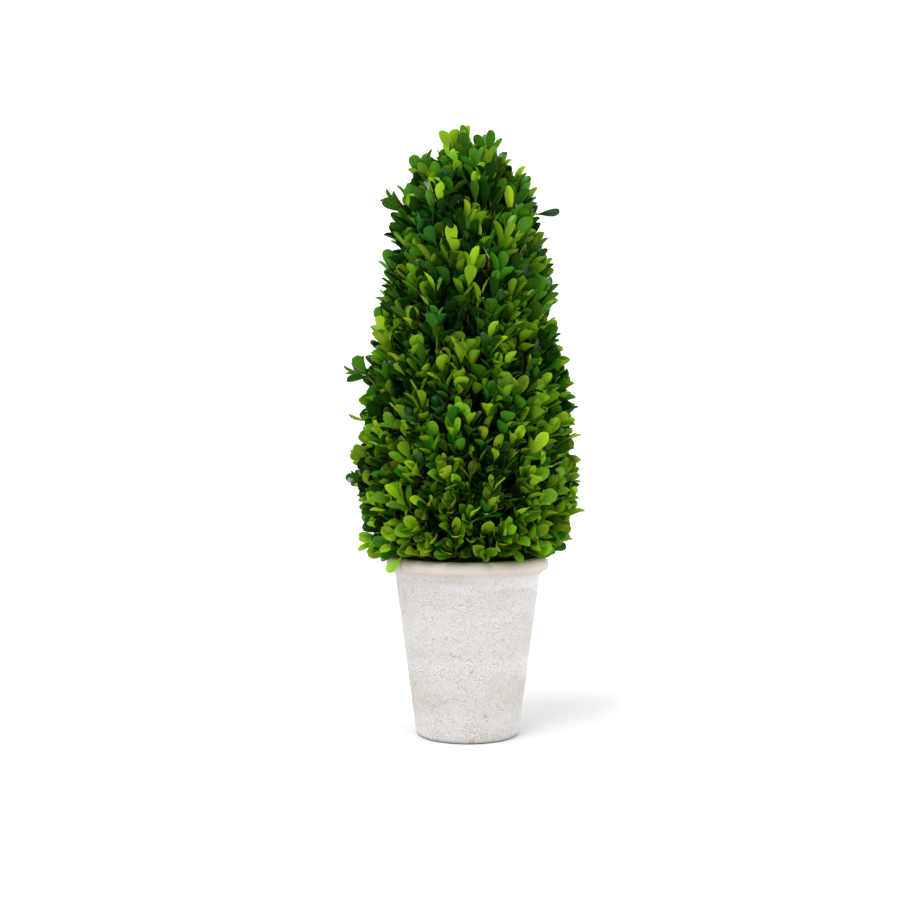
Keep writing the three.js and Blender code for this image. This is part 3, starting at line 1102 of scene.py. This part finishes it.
@dataclass
class Sprays:
    """The fine shoots that cover the crown, and the leaves in opposite pairs along each.

    The greens are given as how common each is at the crown's foot and at its tip.
    """

    crown: Crown
    seed: int = 41
    outer_count: int = 900
    middle_count: int = 520
    inner_count: int = 360
    middle_depth: float = 0.015
    inner_depth: float = 0.030
    # How much the inner green is favoured in the middle and inner layers: older leaves, and painted shade
    # deep in the crown.
    middle_shade: float = 12.0
    inner_shade: float = 60.0
    wander: float = 0.011
    proud: float = 0.0035
    angle_jitter: float = 0.11
    height_jitter: float = 0.006
    rise_jitter: float = 0.20
    lean_jitter: float = 0.18
    leaf_length: float = 0.0228
    leaf_length_spread: float = 0.24
    end_leaf_size: float = 0.9
    stray_variety: float = 0.3
    fullness_spread: float = 0.15
    twist: float = 0.6
    top_growth: float = 0.24
    top_slimness: float = 0.14
    spread_at_tip: float = 14.0
    spread_step: float = 6.0
    spread_jitter: float = 0.16
    roll_jitter: float = 0.25
    nearly_upright: float = 0.95
    # The greens run lighter at the crown's foot and darker at its tip: partly yellower lower leaves, partly
    # painted light and shade that evens out the light falling more on the top.
    bright_ends: Flat = (0.90, 0.26)
    young_top: float = 0.84
    old_greens: dict[Tint, Flat] = field(default_factory=lambda: {
        Tint.INNER: (0.06, 0.20),
        Tint.DEEP: (0.06, 0.20),
        Tint.DARK: (0.20, 0.50),
        Tint.SEA: (0.04, 0.04),
        Tint.CLEAR: (0.08, 0.28),
        Tint.MID: (0.58, 0.10),
    })
    young_greens: dict[Tint, Flat] = field(default_factory=lambda: {
        Tint.CLEAR: (0.0, 0.40),
        Tint.OLIVE: (0.36, 0.05),
        Tint.FRESH: (0.26, 0.50),
        Tint.LIME: (0.42, 0.06),
    })
    less_dark_top: float = 0.7
    more_clear_top: float = 0.3
    young_leaves: int = 2
    old_leaves: int = 4
    pair_spacing: float = 0.0052
    spacing_variety: Flat = (0.85, 1.2)
    pairs: Flat = (2.6, 4.6)
    pot_rim_radius: float = 0.0700
    rim_clearance: float = 0.0015
    rim_droop: float = 0.0032
    pot_height: float = 0.1524
    hem_height: float = 0.1535
    checked_shares: tuple[float, ...] = (0.0, 0.35, 0.7, 1.0)
    clouds: dict[Tint, list[Leaf]] = field(default_factory=dict)
    shoots: list[Shoot] = field(default_factory=list)

    def deal(self) -> None:
        """Deal the shoots, and then the leaves of each: young at its end, then old, and deep green further
        in, partly painted shade.
        """
        random = SeededNumbers(self.seed)
        self.shoots = [
            *self.layer(random, self.outer_count, 0.0),
            *self.layer(random, self.middle_count, self.middle_depth),
            *self.layer(random, self.inner_count, self.inner_depth),
            *self.standing_proud(),
        ]
        self.clouds = {tint: [] for tint in Tint}
        for number, shoot in enumerate(self.shoots):
            leaves = self.leaves_of(shoot, random)
            if not shoot.stray:
                shift = self.drawn_in(shoot, leaves, random)
                leaves = [replace(leaf, base=leaf.base + shift) for leaf in leaves]
                self.shoots[number] = shoot = replace(shoot, tip=shoot.tip + shift)
            old, young = self.tints_of(shoot, random)
            greens = [young] * self.young_leaves + [old] * self.old_leaves
            for place, leaf in enumerate(leaves):
                if self.is_clear(leaf, shoot):
                    # Leaves past the old ones get the deep green: older leaves, and painted shade in the gaps
                    # between shoots.
                    self.clouds[greens[place] if place < len(greens) else Tint.DEEP].append(leaf)

    def back(self) -> float:
        """Return how far the end pair's leaf tips reach past the twig's tip, along the shoot."""
        return self.leaf_length * math.cos(math.radians(self.spread_at_tip))

    def layer(self, random: SeededNumbers, count: int, depth: float) -> list[Shoot]:
        """Deal one layer of shoots over the outline.

        Args:
            random: The seeded numbers.
            count: How many shoots it has.
            depth: How far inside the outline it lies.

        Returns:
            The shoots.
        """
        shoots = []
        for i, height in enumerate(self.crown.heights(count)):
            height += random.around(self.height_jitter)
            height = clamp(height, self.crown.foot_height, self.crown.tip_height)
            angle = i * GOLDEN_ANGLE + random.around(self.angle_jitter)
            rise = self.crown.rise(height) + random.around(self.rise_jitter)
            inwards = depth + random.next() * self.wander
            tip, direction = self.crown.place(angle, height, self.crown.radius(height), rise, self.back())
            side = UP.cross(direction).normalized()
            direction = (direction + side * random.around(self.lean_jitter)).normalized()
            shoots.append(Shoot(tip, direction, random.next() * math.pi, inwards))
        return shoots

    def standing_proud(self) -> list[Shoot]:
        """Place the strays of the crown.

        Returns:
            Their shoots.
        """
        shoots = []
        for stray in self.crown.strays:
            radius = self.crown.radius(stray.height) + stray.reach
            rise = math.radians(stray.rise)
            angle = math.radians(stray.angle)
            tip, direction = self.crown.place(angle, stray.height, radius, rise, self.back())
            shoots.append(Shoot(tip, direction, math.radians(stray.roll), 0.0, stray))
        return shoots

    def drawn_in(self, shoot: Shoot, leaves: list[Leaf], random: SeededNumbers) -> Vector:
        """Draw a shoot in, so that its outermost leaf ends near the clipped outline.

        Args:
            shoot: The shoot.
            leaves: Its leaves.
            random: The seeded numbers.

        Returns:
            The shift of the whole shoot, along the outline's normal.
        """
        outward = Vector((shoot.tip.x, shoot.tip.y, 0)).normalized()
        steep = math.atan(self.crown.narrowing(shoot.tip.z + self.leaf_length / 2))
        normal = outward * math.cos(steep) + UP * math.sin(steep)
        past = max(self.crown.past(leaf.tip()) for leaf in leaves) * math.cos(steep)
        return normal * (random.around(self.proud) - shoot.depth - past)

    def tints_of(self, shoot: Shoot, random: SeededNumbers) -> tuple[Tint, Tint]:
        """Draw a shoot's greens, by its height and how deep it lies.

        Args:
            shoot: The shoot.
            random: The seeded numbers.

        Returns:
            The green of its older leaves, and that of its end pair.
        """
        if shoot.stray:
            return shoot.stray.tint, shoot.stray.tint
        share = self.crown.share(shoot.tip.z)
        # Deeper layers are dealt the inner green, partly as older leaves and partly as painted shade in the
        # crown's depths.
        shade = 0.0
        if shoot.depth >= self.inner_depth:
            shade = self.inner_shade
        elif shoot.depth >= self.middle_depth:
            shade = self.middle_shade
        youth = clamp((share - self.young_top) / (1 - self.young_top))
        shares = {tint: lerp(*ends, share) for tint, ends in self.old_greens.items()}
        shares[Tint.INNER] *= shade
        shares[Tint.DEEP] *= 1 - youth
        shares[Tint.DARK] *= 1 - self.less_dark_top * youth
        shares[Tint.CLEAR] += self.more_clear_top * youth
        old = self.drawn(random, shares)
        if random.next() > lerp(lerp(*self.bright_ends, share), 1, youth) / (1 + shade):
            return old, old
        shares = {tint: lerp(*ends, share) for tint, ends in self.young_greens.items()}
        return old, self.drawn(random, shares)

    @staticmethod
    def drawn(random: SeededNumbers, shares: dict[Tint, float]) -> Tint:
        """Draw one of several greens.

        Args:
            random: The seeded numbers.
            shares: How common each green is.

        Returns:
            The green.
        """
        drawn = random.next() * sum(shares.values())
        for tint, share in shares.items():
            drawn -= share
            if drawn <= 0:
                return tint
        return Tint.MID

    def leaves_of(self, shoot: Shoot, random: SeededNumbers) -> list[Leaf]:
        """Grow a shoot's leaves in opposite pairs, each a quarter turn from the last.

        Args:
            shoot: The shoot.
            random: The seeded numbers.

        Returns:
            Its leaves, from the end pair down.
        """
        reference = UP if abs(shoot.direction.z) < self.nearly_upright else Vector((1, 0, 0))
        side = reference.cross(shoot.direction).normalized()
        top = shoot.direction.cross(side)
        count = shoot.stray.pairs if shoot.stray else round(random.between(*self.pairs))
        variety = self.leaf_length_spread * (self.stray_variety if shoot.stray else 1)
        share = self.crown.share(shoot.tip.z) ** 2
        vigour = self.leaf_length * (1 + self.top_growth * share)
        fullness = 1 - self.top_slimness * share
        leaves = []
        for pair in range(count):
            back = pair * self.pair_spacing * random.between(*self.spacing_variety)
            node = shoot.tip - shoot.direction * back
            is_single = pair == 0 and shoot.stray is not None and shoot.stray.is_lone
            for half in (0.0,) if is_single else (0.0, math.pi):
                spread = math.radians(self.spread_at_tip + pair * self.spread_step)
                spread += random.around(self.spread_jitter)
                turn = shoot.roll + pair * math.pi / 2 + half + random.around(self.roll_jitter)
                out = side * math.cos(turn) + top * math.sin(turn)
                along = shoot.direction * math.cos(spread) + out * math.sin(spread)
                face = shoot.direction * math.sin(spread) - out * math.cos(spread)
                face.rotate(Quaternion(along, random.around(self.twist)))
                size = self.end_leaf_size if pair == 0 else 1.0
                length = vigour * (1 + random.around(variety)) * size
                breadth = fullness + random.around(self.fullness_spread)
                leaves.append(Leaf(node, along, face, length, breadth))
        return leaves

    def is_clear(self, leaf: Leaf, shoot: Shoot) -> bool:
        """Tell whether a leaf stays clear of the pot, and above the crown's hem unless it is a stray's.

        Args:
            leaf: The leaf.
            shoot: The shoot that it grows on.

        Returns:
            Whether it may stay.
        """
        rim_top = self.pot_height + (0 if shoot.stray else self.rim_droop)
        rim_edge = self.pot_rim_radius + self.rim_clearance
        for share in self.checked_shares:
            point = leaf.base + leaf.along * (leaf.length * share)
            if not shoot.stray and point.z < self.hem_height:
                return False
            if point.z < rim_top and math.hypot(point.x, point.y) < rim_edge:
                return False
        return True


# A leaf's sections have four points each: left edge, right edge, and the midrib over and beneath.
SECTION_POINTS = 4
MIDRIB_OVER = 2
FEW_STATIONS = ((0.0, 0.03), (0.22, 0.12), (0.47, 0.37), (0.72, 0.50), (0.91, 0.33))


@dataclass
class LeafShape:
    """A spoon-shaped leaf one unit long on +X: narrow at its foot, broad and round near its tip.

    A station says how far along the leaf it is, and how wide half of the leaf is there, as a share of its
    width.
    """

    name: str
    width: float = 0.42
    cup: float = 0.08
    recurve: float = 0.10
    recurve_power: float = 2.2
    notch: float = 0.0
    skew: float = 0.0
    thickness: float = 0.022
    thick_shares: Flat = (0.5, 0.25)
    stations: tuple[Flat, ...] = (
        (0.0, 0.03),
        (0.14, 0.07),
        (0.33, 0.21),
        (0.54, 0.41),
        (0.72, 0.50),
        (0.87, 0.44),
        (0.965, 0.25),
    )

    def build(self) -> bpy.types.Object:
        """Build the leaf as a thin closed lens, with its two sides told apart by an attribute.

        Returns:
            The leaf.
        """
        points = [point for share, half in self.stations for point in self.section(share, half)]
        tip = len(points)
        points.append((1.0 - self.notch, 0.0, -self.recurve))
        faces: list[tuple[int, ...]] = []
        sides: list[int] = []
        step = SECTION_POINTS
        for first in range(0, tip, step):
            left, right, over, beneath = range(first, first + step)
            for middle, side in ((over, 0), (beneath, 1)):
                pair = [
                    (left, middle, middle + step, left + step),
                    (middle, right, right + step, middle + step),
                ]
                if first + step == tip:
                    pair = [(left, middle, tip), (middle, right, tip)]
                faces += pair if side == 0 else [face[::-1] for face in pair]
                sides += [side, side]
        faces.append((0, 3, 1, 2))
        sides.append(1)
        leaf = mesh_object(self.name, points, faces)
        store(leaf, "leaf_side", "INT", "FACE", sides)
        self.sharpen(leaf, sides)
        return leaf

    def section(self, share: float, half: float) -> list[tuple[float, float, float]]:
        """Cut the leaf across at one station.

        Args:
            share: How far along the leaf it is.
            half: How wide half of the leaf is there.

        Returns:
            The left edge, the right edge, and the midrib over and beneath.
        """
        sag = -self.recurve * share**self.recurve_power
        width = half * self.width
        lean = self.skew * math.sin(math.pi * share)
        edge = sag + self.cup * 2 * half
        thick = self.thickness * lerp(*self.thick_shares, share)
        over, beneath = (share, lean, sag + thick), (share, lean, sag - thick)
        return [(share, width + lean, edge), (share, lean - width, edge), over, beneath]

    @staticmethod
    def sharpen(leaf: bpy.types.Object, sides: list[int]) -> None:
        """Mark the edges between the leaf's two sides, and along its upper midrib, as sharp.

        Args:
            leaf: The leaf.
            sides: The side of each of its faces.
        """
        owners: dict[tuple[int, int], set[int]] = {}
        for polygon, side in zip(leaf.data.polygons, sides):
            for key in polygon.edge_keys:
                owners.setdefault(key, set()).add(side)
        sharp = []
        for edge in leaf.data.edges:
            is_midrib = all(v % SECTION_POINTS == MIDRIB_OVER for v in edge.vertices)
            sharp.append(len(owners[edge.key]) > 1 or is_midrib)
        leaf.data.attributes.new("sharp_edge", "BOOLEAN", "EDGE").data.foreach_set("value", sharp)


@dataclass
class Foliage:
    """All the leaves, set on their sprays by Geometry Nodes, one piece for each green."""

    sprays: Sprays
    seed: int = 7
    shapes: tuple[LeafShape, ...] = (
        LeafShape("leaf_spoon"),
        LeafShape("leaf_broad", width=0.48, cup=0.05, recurve=0.04, notch=0.02),
        LeafShape("leaf_slim", width=0.35, cup=0.06, recurve=0.14, skew=0.02),
        LeafShape("leaf_curled", width=0.41, cup=0.12, recurve=0.22, skew=-0.025),
    )
    inner_shapes: tuple[LeafShape, ...] = (
        LeafShape("inner_leaf_spoon", stations=FEW_STATIONS),
        LeafShape("inner_leaf_broad", width=0.48, recurve=0.04, stations=FEW_STATIONS),
    )

    def build(self) -> list[bpy.types.Object]:
        """Build one piece of joined leaves for each green.

        Returns:
            The pieces.
        """
        tree = self.scattering()
        outer = self.stocked("outer_leaf_shapes", self.shapes)
        inner = self.stocked("inner_leaf_shapes", self.inner_shapes)
        pieces = []
        for finish in LEAF_FINISHES:
            shapes = inner if finish.tint is Tint.INNER else outer
            cloud = self.sprays.clouds[finish.tint]
            points = mesh_object(f"leaf_points_{finish.tint.value}", [leaf.base for leaf in cloud])
            store(points, "leaf_turn", "QUATERNION", "POINT", [v for leaf in cloud for v in leaf.turn()])
            store(points, "leaf_scale", "FLOAT_VECTOR", "POINT", [v for leaf in cloud for v in leaf.scale()])
            values = {"Leaf shapes": shapes, "Last shape": len(shapes.objects) - 1, "Seed": self.seed}
            pieces.append(tree.apply(points, f"leaves_{finish.tint.value}", {**values, **finish.materials()}))
        for shapes in (outer, inner):
            for leaf in list(shapes.objects):
                bpy.data.objects.remove(leaf)
            bpy.data.collections.remove(shapes)
        return pieces

    @staticmethod
    def stocked(name: str, shapes: Sequence[LeafShape]) -> bpy.types.Collection:
        """Build leaf shapes in a collection that is kept out of the scene.

        Args:
            name: The collection's name.
            shapes: The shapes.

        Returns:
            The collection.
        """
        collection = bpy.data.collections.new(name)
        for shape in shapes:
            leaf = shape.build()
            bpy.context.scene.collection.objects.unlink(leaf)
            collection.objects.link(leaf)
        return collection

    @staticmethod
    def scattering() -> GeometryTree:
        """Make the tree that sets a leaf on each point, at its stored turn and size.

        Returns:
            The tree.
        """
        tree = GeometryTree("leaves_on_sprays")
        shapes = tree.take("Leaf shapes", "Collection")
        last = tree.take("Last shape", "Int")
        seed = tree.take("Seed", "Int")
        wiring = tree.wiring
        inputs = {"Collection": shapes, "Separate Children": True, "Reset Children": True}
        leaf = wiring.add("GeometryNodeCollectionInfo", inputs).outputs[0]
        inputs = {4: 0, 5: last, "Seed": seed}
        pick = wiring.add("FunctionNodeRandomValue", inputs, data_type="INT").outputs[2]
        inputs = {
            "Points": tree.entry.outputs[0],
            "Instance": leaf,
            "Pick Instance": True,
            "Instance Index": pick,
            "Rotation": tree.named("leaf_turn", "QUATERNION"),
            "Scale": tree.named("leaf_scale", "FLOAT_VECTOR"),
        }
        solid = tree.realized(wiring.add("GeometryNodeInstanceOnPoints", inputs))
        side = tree.named("leaf_side", "INT")
        for number, name in enumerate(("Upper side", "Underside")):
            inputs = {2: side, 3: number}
            matches = wiring.add("FunctionNodeCompare", inputs, data_type="INT", operation="EQUAL")
            solid = tree.paint(solid, tree.take(name, "Material"), matches.outputs[0])
        tree.finish(solid)
        return tree


@dataclass
class Wood:
    """The main stem, the boughs that leave it, and the twigs that carry the leaves."""

    crown: Crown
    sprays: Sprays
    stem_foot: float = 0.1463
    stem_top: float = 0.440
    flare_radius: float = 0.012
    flare_height: float = 0.014
    foot_radius: float = 0.0085
    top_radius: float = 0.0032
    bow: float = 0.003
    stem_sides: int = 40
    stem_rings: int = 150
    bark_relief: float = 0.055
    ridges: int = 7
    ridge_winding: float = 60.0
    fine_ridges: int = 13
    fine_winding: float = -95.0
    fine_share: float = 0.5
    fine_wander: Flat = (2.0, 400.0)
    bough_count: int = 92
    bough_depth: float = 0.036
    bough_radius: Flat = (0.0024, 0.0011)
    bough_sides: int = 6
    bough_steps: int = 7
    bough_angle_jitter: float = 0.25
    bough_rise_jitter: float = 0.15
    bough_climb: float = 0.9
    bough_drop: float = 0.01
    bough_foot_room: float = 0.014
    bough_top_room: float = 0.006
    bough_straightness: float = 0.35
    twig_length: float = 0.034
    twig_radius: Flat = (0.0010, 0.00055)
    twig_sides: int = 4
    twig_drop: float = 0.012
    twig_overlap: float = 0.001
    twig_bends: Flat = (0.6, 0.3)
    bark: MottledFinish = MottledFinish("boxwood_bark", "a08d6c", "5c4b36", 0.006, 0.0006)
    young_bark: PlainFinish = PlainFinish("young_twig_bark", "98a45a", 0.6, 0.3)

    def stem_radius(self, height: float) -> float:
        """Taper the main stem, with its root flare.

        Args:
            height: The height.

        Returns:
            The stem's radius there.
        """
        flare = clamp((self.stem_foot + self.flare_height - height) / self.flare_height) ** 2
        share = (height - self.stem_foot) / (self.stem_top - self.stem_foot)
        return lerp(self.foot_radius, self.top_radius, share) + flare * (self.flare_radius - self.foot_radius)

    def stem_centre(self, height: float) -> Vector:
        """Return the middle of the main stem at a height."""
        share = clamp((height - self.stem_foot) / (self.stem_top - self.stem_foot))
        return Vector((self.bow * math.sin(math.pi * share), 0, height))

    def ridge(self, turn: float, height: float) -> float:
        """Raise the bark in broad ridges and fine ones, which wind round the stem.

        Args:
            turn: The angle round the stem, in radians.
            height: The height.

        Returns:
            How far the bark stands out there, as a share of its relief.
        """
        wander, pace = self.fine_wander
        wave = wander * math.sin(pace * height)
        fine = math.sin(self.fine_ridges * turn + self.fine_winding * height + wave)
        return math.sin(self.ridges * turn + self.ridge_winding * height) + self.fine_share * fine

    def stem(self) -> bpy.types.Object:
        """Build the main stem with ridged bark in its mesh.

        Returns:
            The stem.
        """
        sides, rings = self.stem_sides, self.stem_rings
        points = []
        for ring in range(rings):
            height = lerp(self.stem_foot, self.stem_top, ring / (rings - 1))
            for s in range(sides):
                turn = math.tau * s / sides
                radius = self.stem_radius(height) * (1 + self.bark_relief * self.ridge(turn, height))
                spoke = Vector((radius * math.cos(turn), radius * math.sin(turn), 0))
                points.append(self.stem_centre(height) + spoke)
        faces: list[tuple[int, ...]] = list(turned_faces(rings, sides))
        faces.append(tuple(reversed(range(sides))))
        faces.append(tuple((rings - 1) * sides + s for s in range(sides)))
        stem = mesh_object("stem_bark", points, faces)
        stem.data.materials.append(self.bark.material())
        return stem

    def bough_lines(self) -> list[list[Vector]]:
        """Lead the boughs from the stem up and out to below the shoots.

        Returns:
            The middle line of each bough.
        """
        random = SeededNumbers(self.sprays.seed)
        lowest, highest = self.stem_foot + self.bough_foot_room, self.stem_top - self.bough_top_room
        lines = []
        for i, height in enumerate(self.crown.heights(self.bough_count)):
            angle = i * GOLDEN_ANGLE + random.around(self.bough_angle_jitter)
            rise = self.crown.rise(height) + random.around(self.bough_rise_jitter)
            reach = self.crown.radius(height)
            end, direction = self.crown.place(angle, height, reach, rise, self.bough_depth)
            run = math.hypot(end.x, end.y)
            start = self.stem_centre(clamp(end.z - self.bough_climb * run - self.bough_drop, lowest, highest))
            bend = end - direction * (0.5 * (end - start).length)
            bend = bend.lerp(start.lerp(end, 0.5), self.bough_straightness)
            shares = np.linspace(0, 1, self.bough_steps)
            lines.append([start * (1 - t) ** 2 + bend * (2 * t * (1 - t)) + end * t**2 for t in shares])
        return lines

    def twig_lines(self, boughs: list[list[Vector]]) -> list[list[Vector]]:
        """Lead a twig from the nearest bough to each shoot's tip.

        Args:
            boughs: The middle lines of the boughs.

        Returns:
            The middle line of each twig.
        """
        joints = np.array([point for line in boughs for point in line[2:]])
        low_bend, high_bend = self.twig_bends
        lines = []
        for shoot in self.sprays.shoots:
            root = shoot.tip - shoot.direction * self.twig_length
            below = np.array(root - UP * self.twig_drop)
            nearest = Vector(joints[np.argmin(((joints - below) ** 2).sum(axis=1))])
            end = shoot.tip + shoot.direction * self.twig_overlap
            lines.append([nearest, nearest.lerp(root, low_bend), root.lerp(shoot.tip, high_bend), end])
        return lines

    def build(self) -> tuple[bpy.types.Object, bpy.types.Object, bpy.types.Object]:
        """Build the wood.

        Returns:
            The stem, the boughs and the twigs.
        """
        lines = self.bough_lines()
        twig_lines = self.twig_lines(lines)
        tree = self.skin()
        finishes = {"Sides": self.bough_sides, "Bark": self.bark.material()}
        stem = self.stem()
        boughs = self.limbs("boughs", lines, self.bough_radius, tree, finishes)
        finishes = {"Sides": self.twig_sides, "Bark": self.young_bark.material()}
        return stem, boughs, self.limbs("twigs", twig_lines, self.twig_radius, tree, finishes)

    @staticmethod
    def limbs(
        name: str, lines: list[list[Vector]], radii: Flat, tree: GeometryTree, values: dict[str, object]
    ) -> bpy.types.Object:
        """Build tapering limbs along lines, joined in one piece.

        Args:
            name: The piece's name.
            lines: The middle line of each limb.
            radii: The radius of a limb at its foot and at its end.
            tree: The tree that makes them round.
            values: A value for each of the tree's inputs.

        Returns:
            The limbs.
        """
        points = [point for line in lines for point in line]
        edges, widths, first = [], [], 0
        for line in lines:
            edges += [(first + i, first + i + 1) for i in range(len(line) - 1)]
            widths += [lerp(*radii, i / (len(line) - 1)) for i in range(len(line))]
            first += len(line)
        wire = mesh_object(f"{name}_lines", points, edges=edges)
        store(wire, "limb_radius", "FLOAT", "POINT", widths)
        return tree.apply(wire, name, values)

    @staticmethod
    def skin() -> GeometryTree:
        """Make the tree that gives each line a round tapering limb.

        Returns:
            The tree.
        """
        tree = GeometryTree("bark_on_limbs")
        sides = tree.take("Sides", "Int")
        bark = tree.take("Bark", "Material")
        wiring = tree.wiring
        line = wiring.add("GeometryNodeMeshToCurve", {"Mesh": tree.entry.outputs[0]}).outputs[0]
        ring = wiring.add("GeometryNodeCurvePrimitiveCircle", {"Resolution": sides, "Radius": 1.0}).outputs[0]
        girth = tree.named("limb_radius", "FLOAT")
        inputs = {"Curve": line, "Profile Curve": ring, "Scale": girth, "Fill Caps": True}
        body = wiring.add("GeometryNodeCurveToMesh", inputs)
        tree.finish(tree.paint(tree.realized(body), bark))
        return tree


@dataclass(frozen=True)
class Lamp:
    """A far, broad lamp that lights plant and floor evenly: where it stands, its strength and its width."""

    name: str
    side: tuple[float, float, float]
    strength: float
    width: float

    def build(self) -> None:
        """Put the lamp in the scene, turned to the plant."""
        light = bpy.data.lights.new(self.name, "SUN")
        light.energy = self.strength
        light.angle = math.radians(self.width)
        holder = in_scene(self.name, light)
        holder.location = self.side
        holder.rotation_euler = Vector(self.side).to_track_quat("Z", "Y").to_euler()


@dataclass
class Studio:
    """A white floor, a soft white sky, three soft lamps, and the photograph's camera."""

    focal_pixels: float = 1250.0
    image_pixels: float = 900.0
    sensor: float = 36.0
    camera_place: tuple[float, float, float] = (-0.015, -1.074, 0.243)
    sky_front: float = 0.66
    sky_behind: float = 1.26
    sky_turn: Flat = (-0.9, -0.05)
    lamps: tuple[Lamp, ...] = (
        Lamp("key", (-0.58, -0.80, 1.46), 1.5, 44.0),
        Lamp("fill", (1.3, -0.6, 0.8), 0.9, 70.0),
        Lamp("sparkle", (-0.4, -1.0, 1.3), 0.28, 7.0),
    )
    print_gamma: float = 0.75
    floor_half: float = 60.0
    floor_finish: PlainFinish = PlainFinish("studio_white", "dbdbdb", 0.9, 0.1)

    def build(self) -> None:
        """Set up the floor, the light and the camera."""
        self.floor()
        self.sky()
        for lamp in self.lamps:
            lamp.build()
        self.camera()
        view = bpy.context.scene.view_settings
        view.view_transform = "Standard"
        view.gamma = self.print_gamma

    def floor(self) -> None:
        """Lay a plain pale floor."""
        half = self.floor_half
        corners = [(-half, -half, 0), (half, -half, 0), (half, half, 0), (-half, half, 0)]
        floor = mesh_object("studio_floor", corners, [(0, 1, 2, 3)])
        floor.data.materials.append(self.floor_finish.material())

    def sky(self) -> None:
        """Hang a white sky that lights less from the front than from behind, and shows evenly white."""
        world = bpy.data.worlds.new("white_sky")
        world.use_nodes = True
        sky = world.node_tree.nodes["Background"]
        sky.inputs["Color"].default_value = (1, 1, 1, 1)
        wiring = Wiring(world.node_tree)
        towards = wiring.add("ShaderNodeTexCoord").outputs["Generated"]
        strength = wiring.span(wiring.part(towards, "Y"), *self.sky_turn, (self.sky_front, self.sky_behind))
        backdrop = wiring.add("ShaderNodeLightPath").outputs["Is Camera Ray"]
        seen = wiring.math("MAXIMUM", strength, wiring.times(backdrop, self.sky_behind))
        wiring.tree.links.new(seen, sky.inputs["Strength"])
        bpy.context.scene.world = world

    def camera(self) -> None:
        """Stand the camera where the photograph was taken from, held level."""
        lens = bpy.data.cameras.new("camera")
        lens.sensor_width = self.sensor
        lens.lens = self.focal_pixels / self.image_pixels * self.sensor
        camera = in_scene("camera", lens)
        camera.location = self.camera_place
        camera.rotation_euler = (math.pi / 2, 0, 0)
        bpy.context.scene.camera = camera


def attach(piece: bpy.types.Object, nodes: Sequence[str] = ()) -> None:
    """Tie a piece to the part's one body and report it.

    Args:
        piece: The finished piece.
        nodes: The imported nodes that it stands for.
    """
    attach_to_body(piece, BODY)
    if nodes:
        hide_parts(*nodes)
    triangles = sum(len(polygon.vertices) - 2 for polygon in piece.data.polygons)
    LOG.info("%s: %d triangles", piece.name, triangles)


def main() -> None:
    """Build the plant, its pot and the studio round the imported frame."""
    logging.basicConfig(level=logging.INFO, format="%(name)s %(message)s")
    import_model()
    Studio().build()
    attach(ClayPot().build(), ["pot"])
    attach(PottingSoil().build(), ["potting_soil"])
    crown = Crown()
    sprays = Sprays(crown)
    sprays.deal()
    stem, boughs, twigs = Wood(crown, sprays).build()
    attach(stem, ["main_stem"])
    attach(boughs)
    attach(twigs, ["foliage_lower", "foliage_upper"])
    for piece in Foliage(sprays).build():
        attach(piece, ["foliage_lower", "foliage_upper"])


if __name__ == "__main__":
    main()
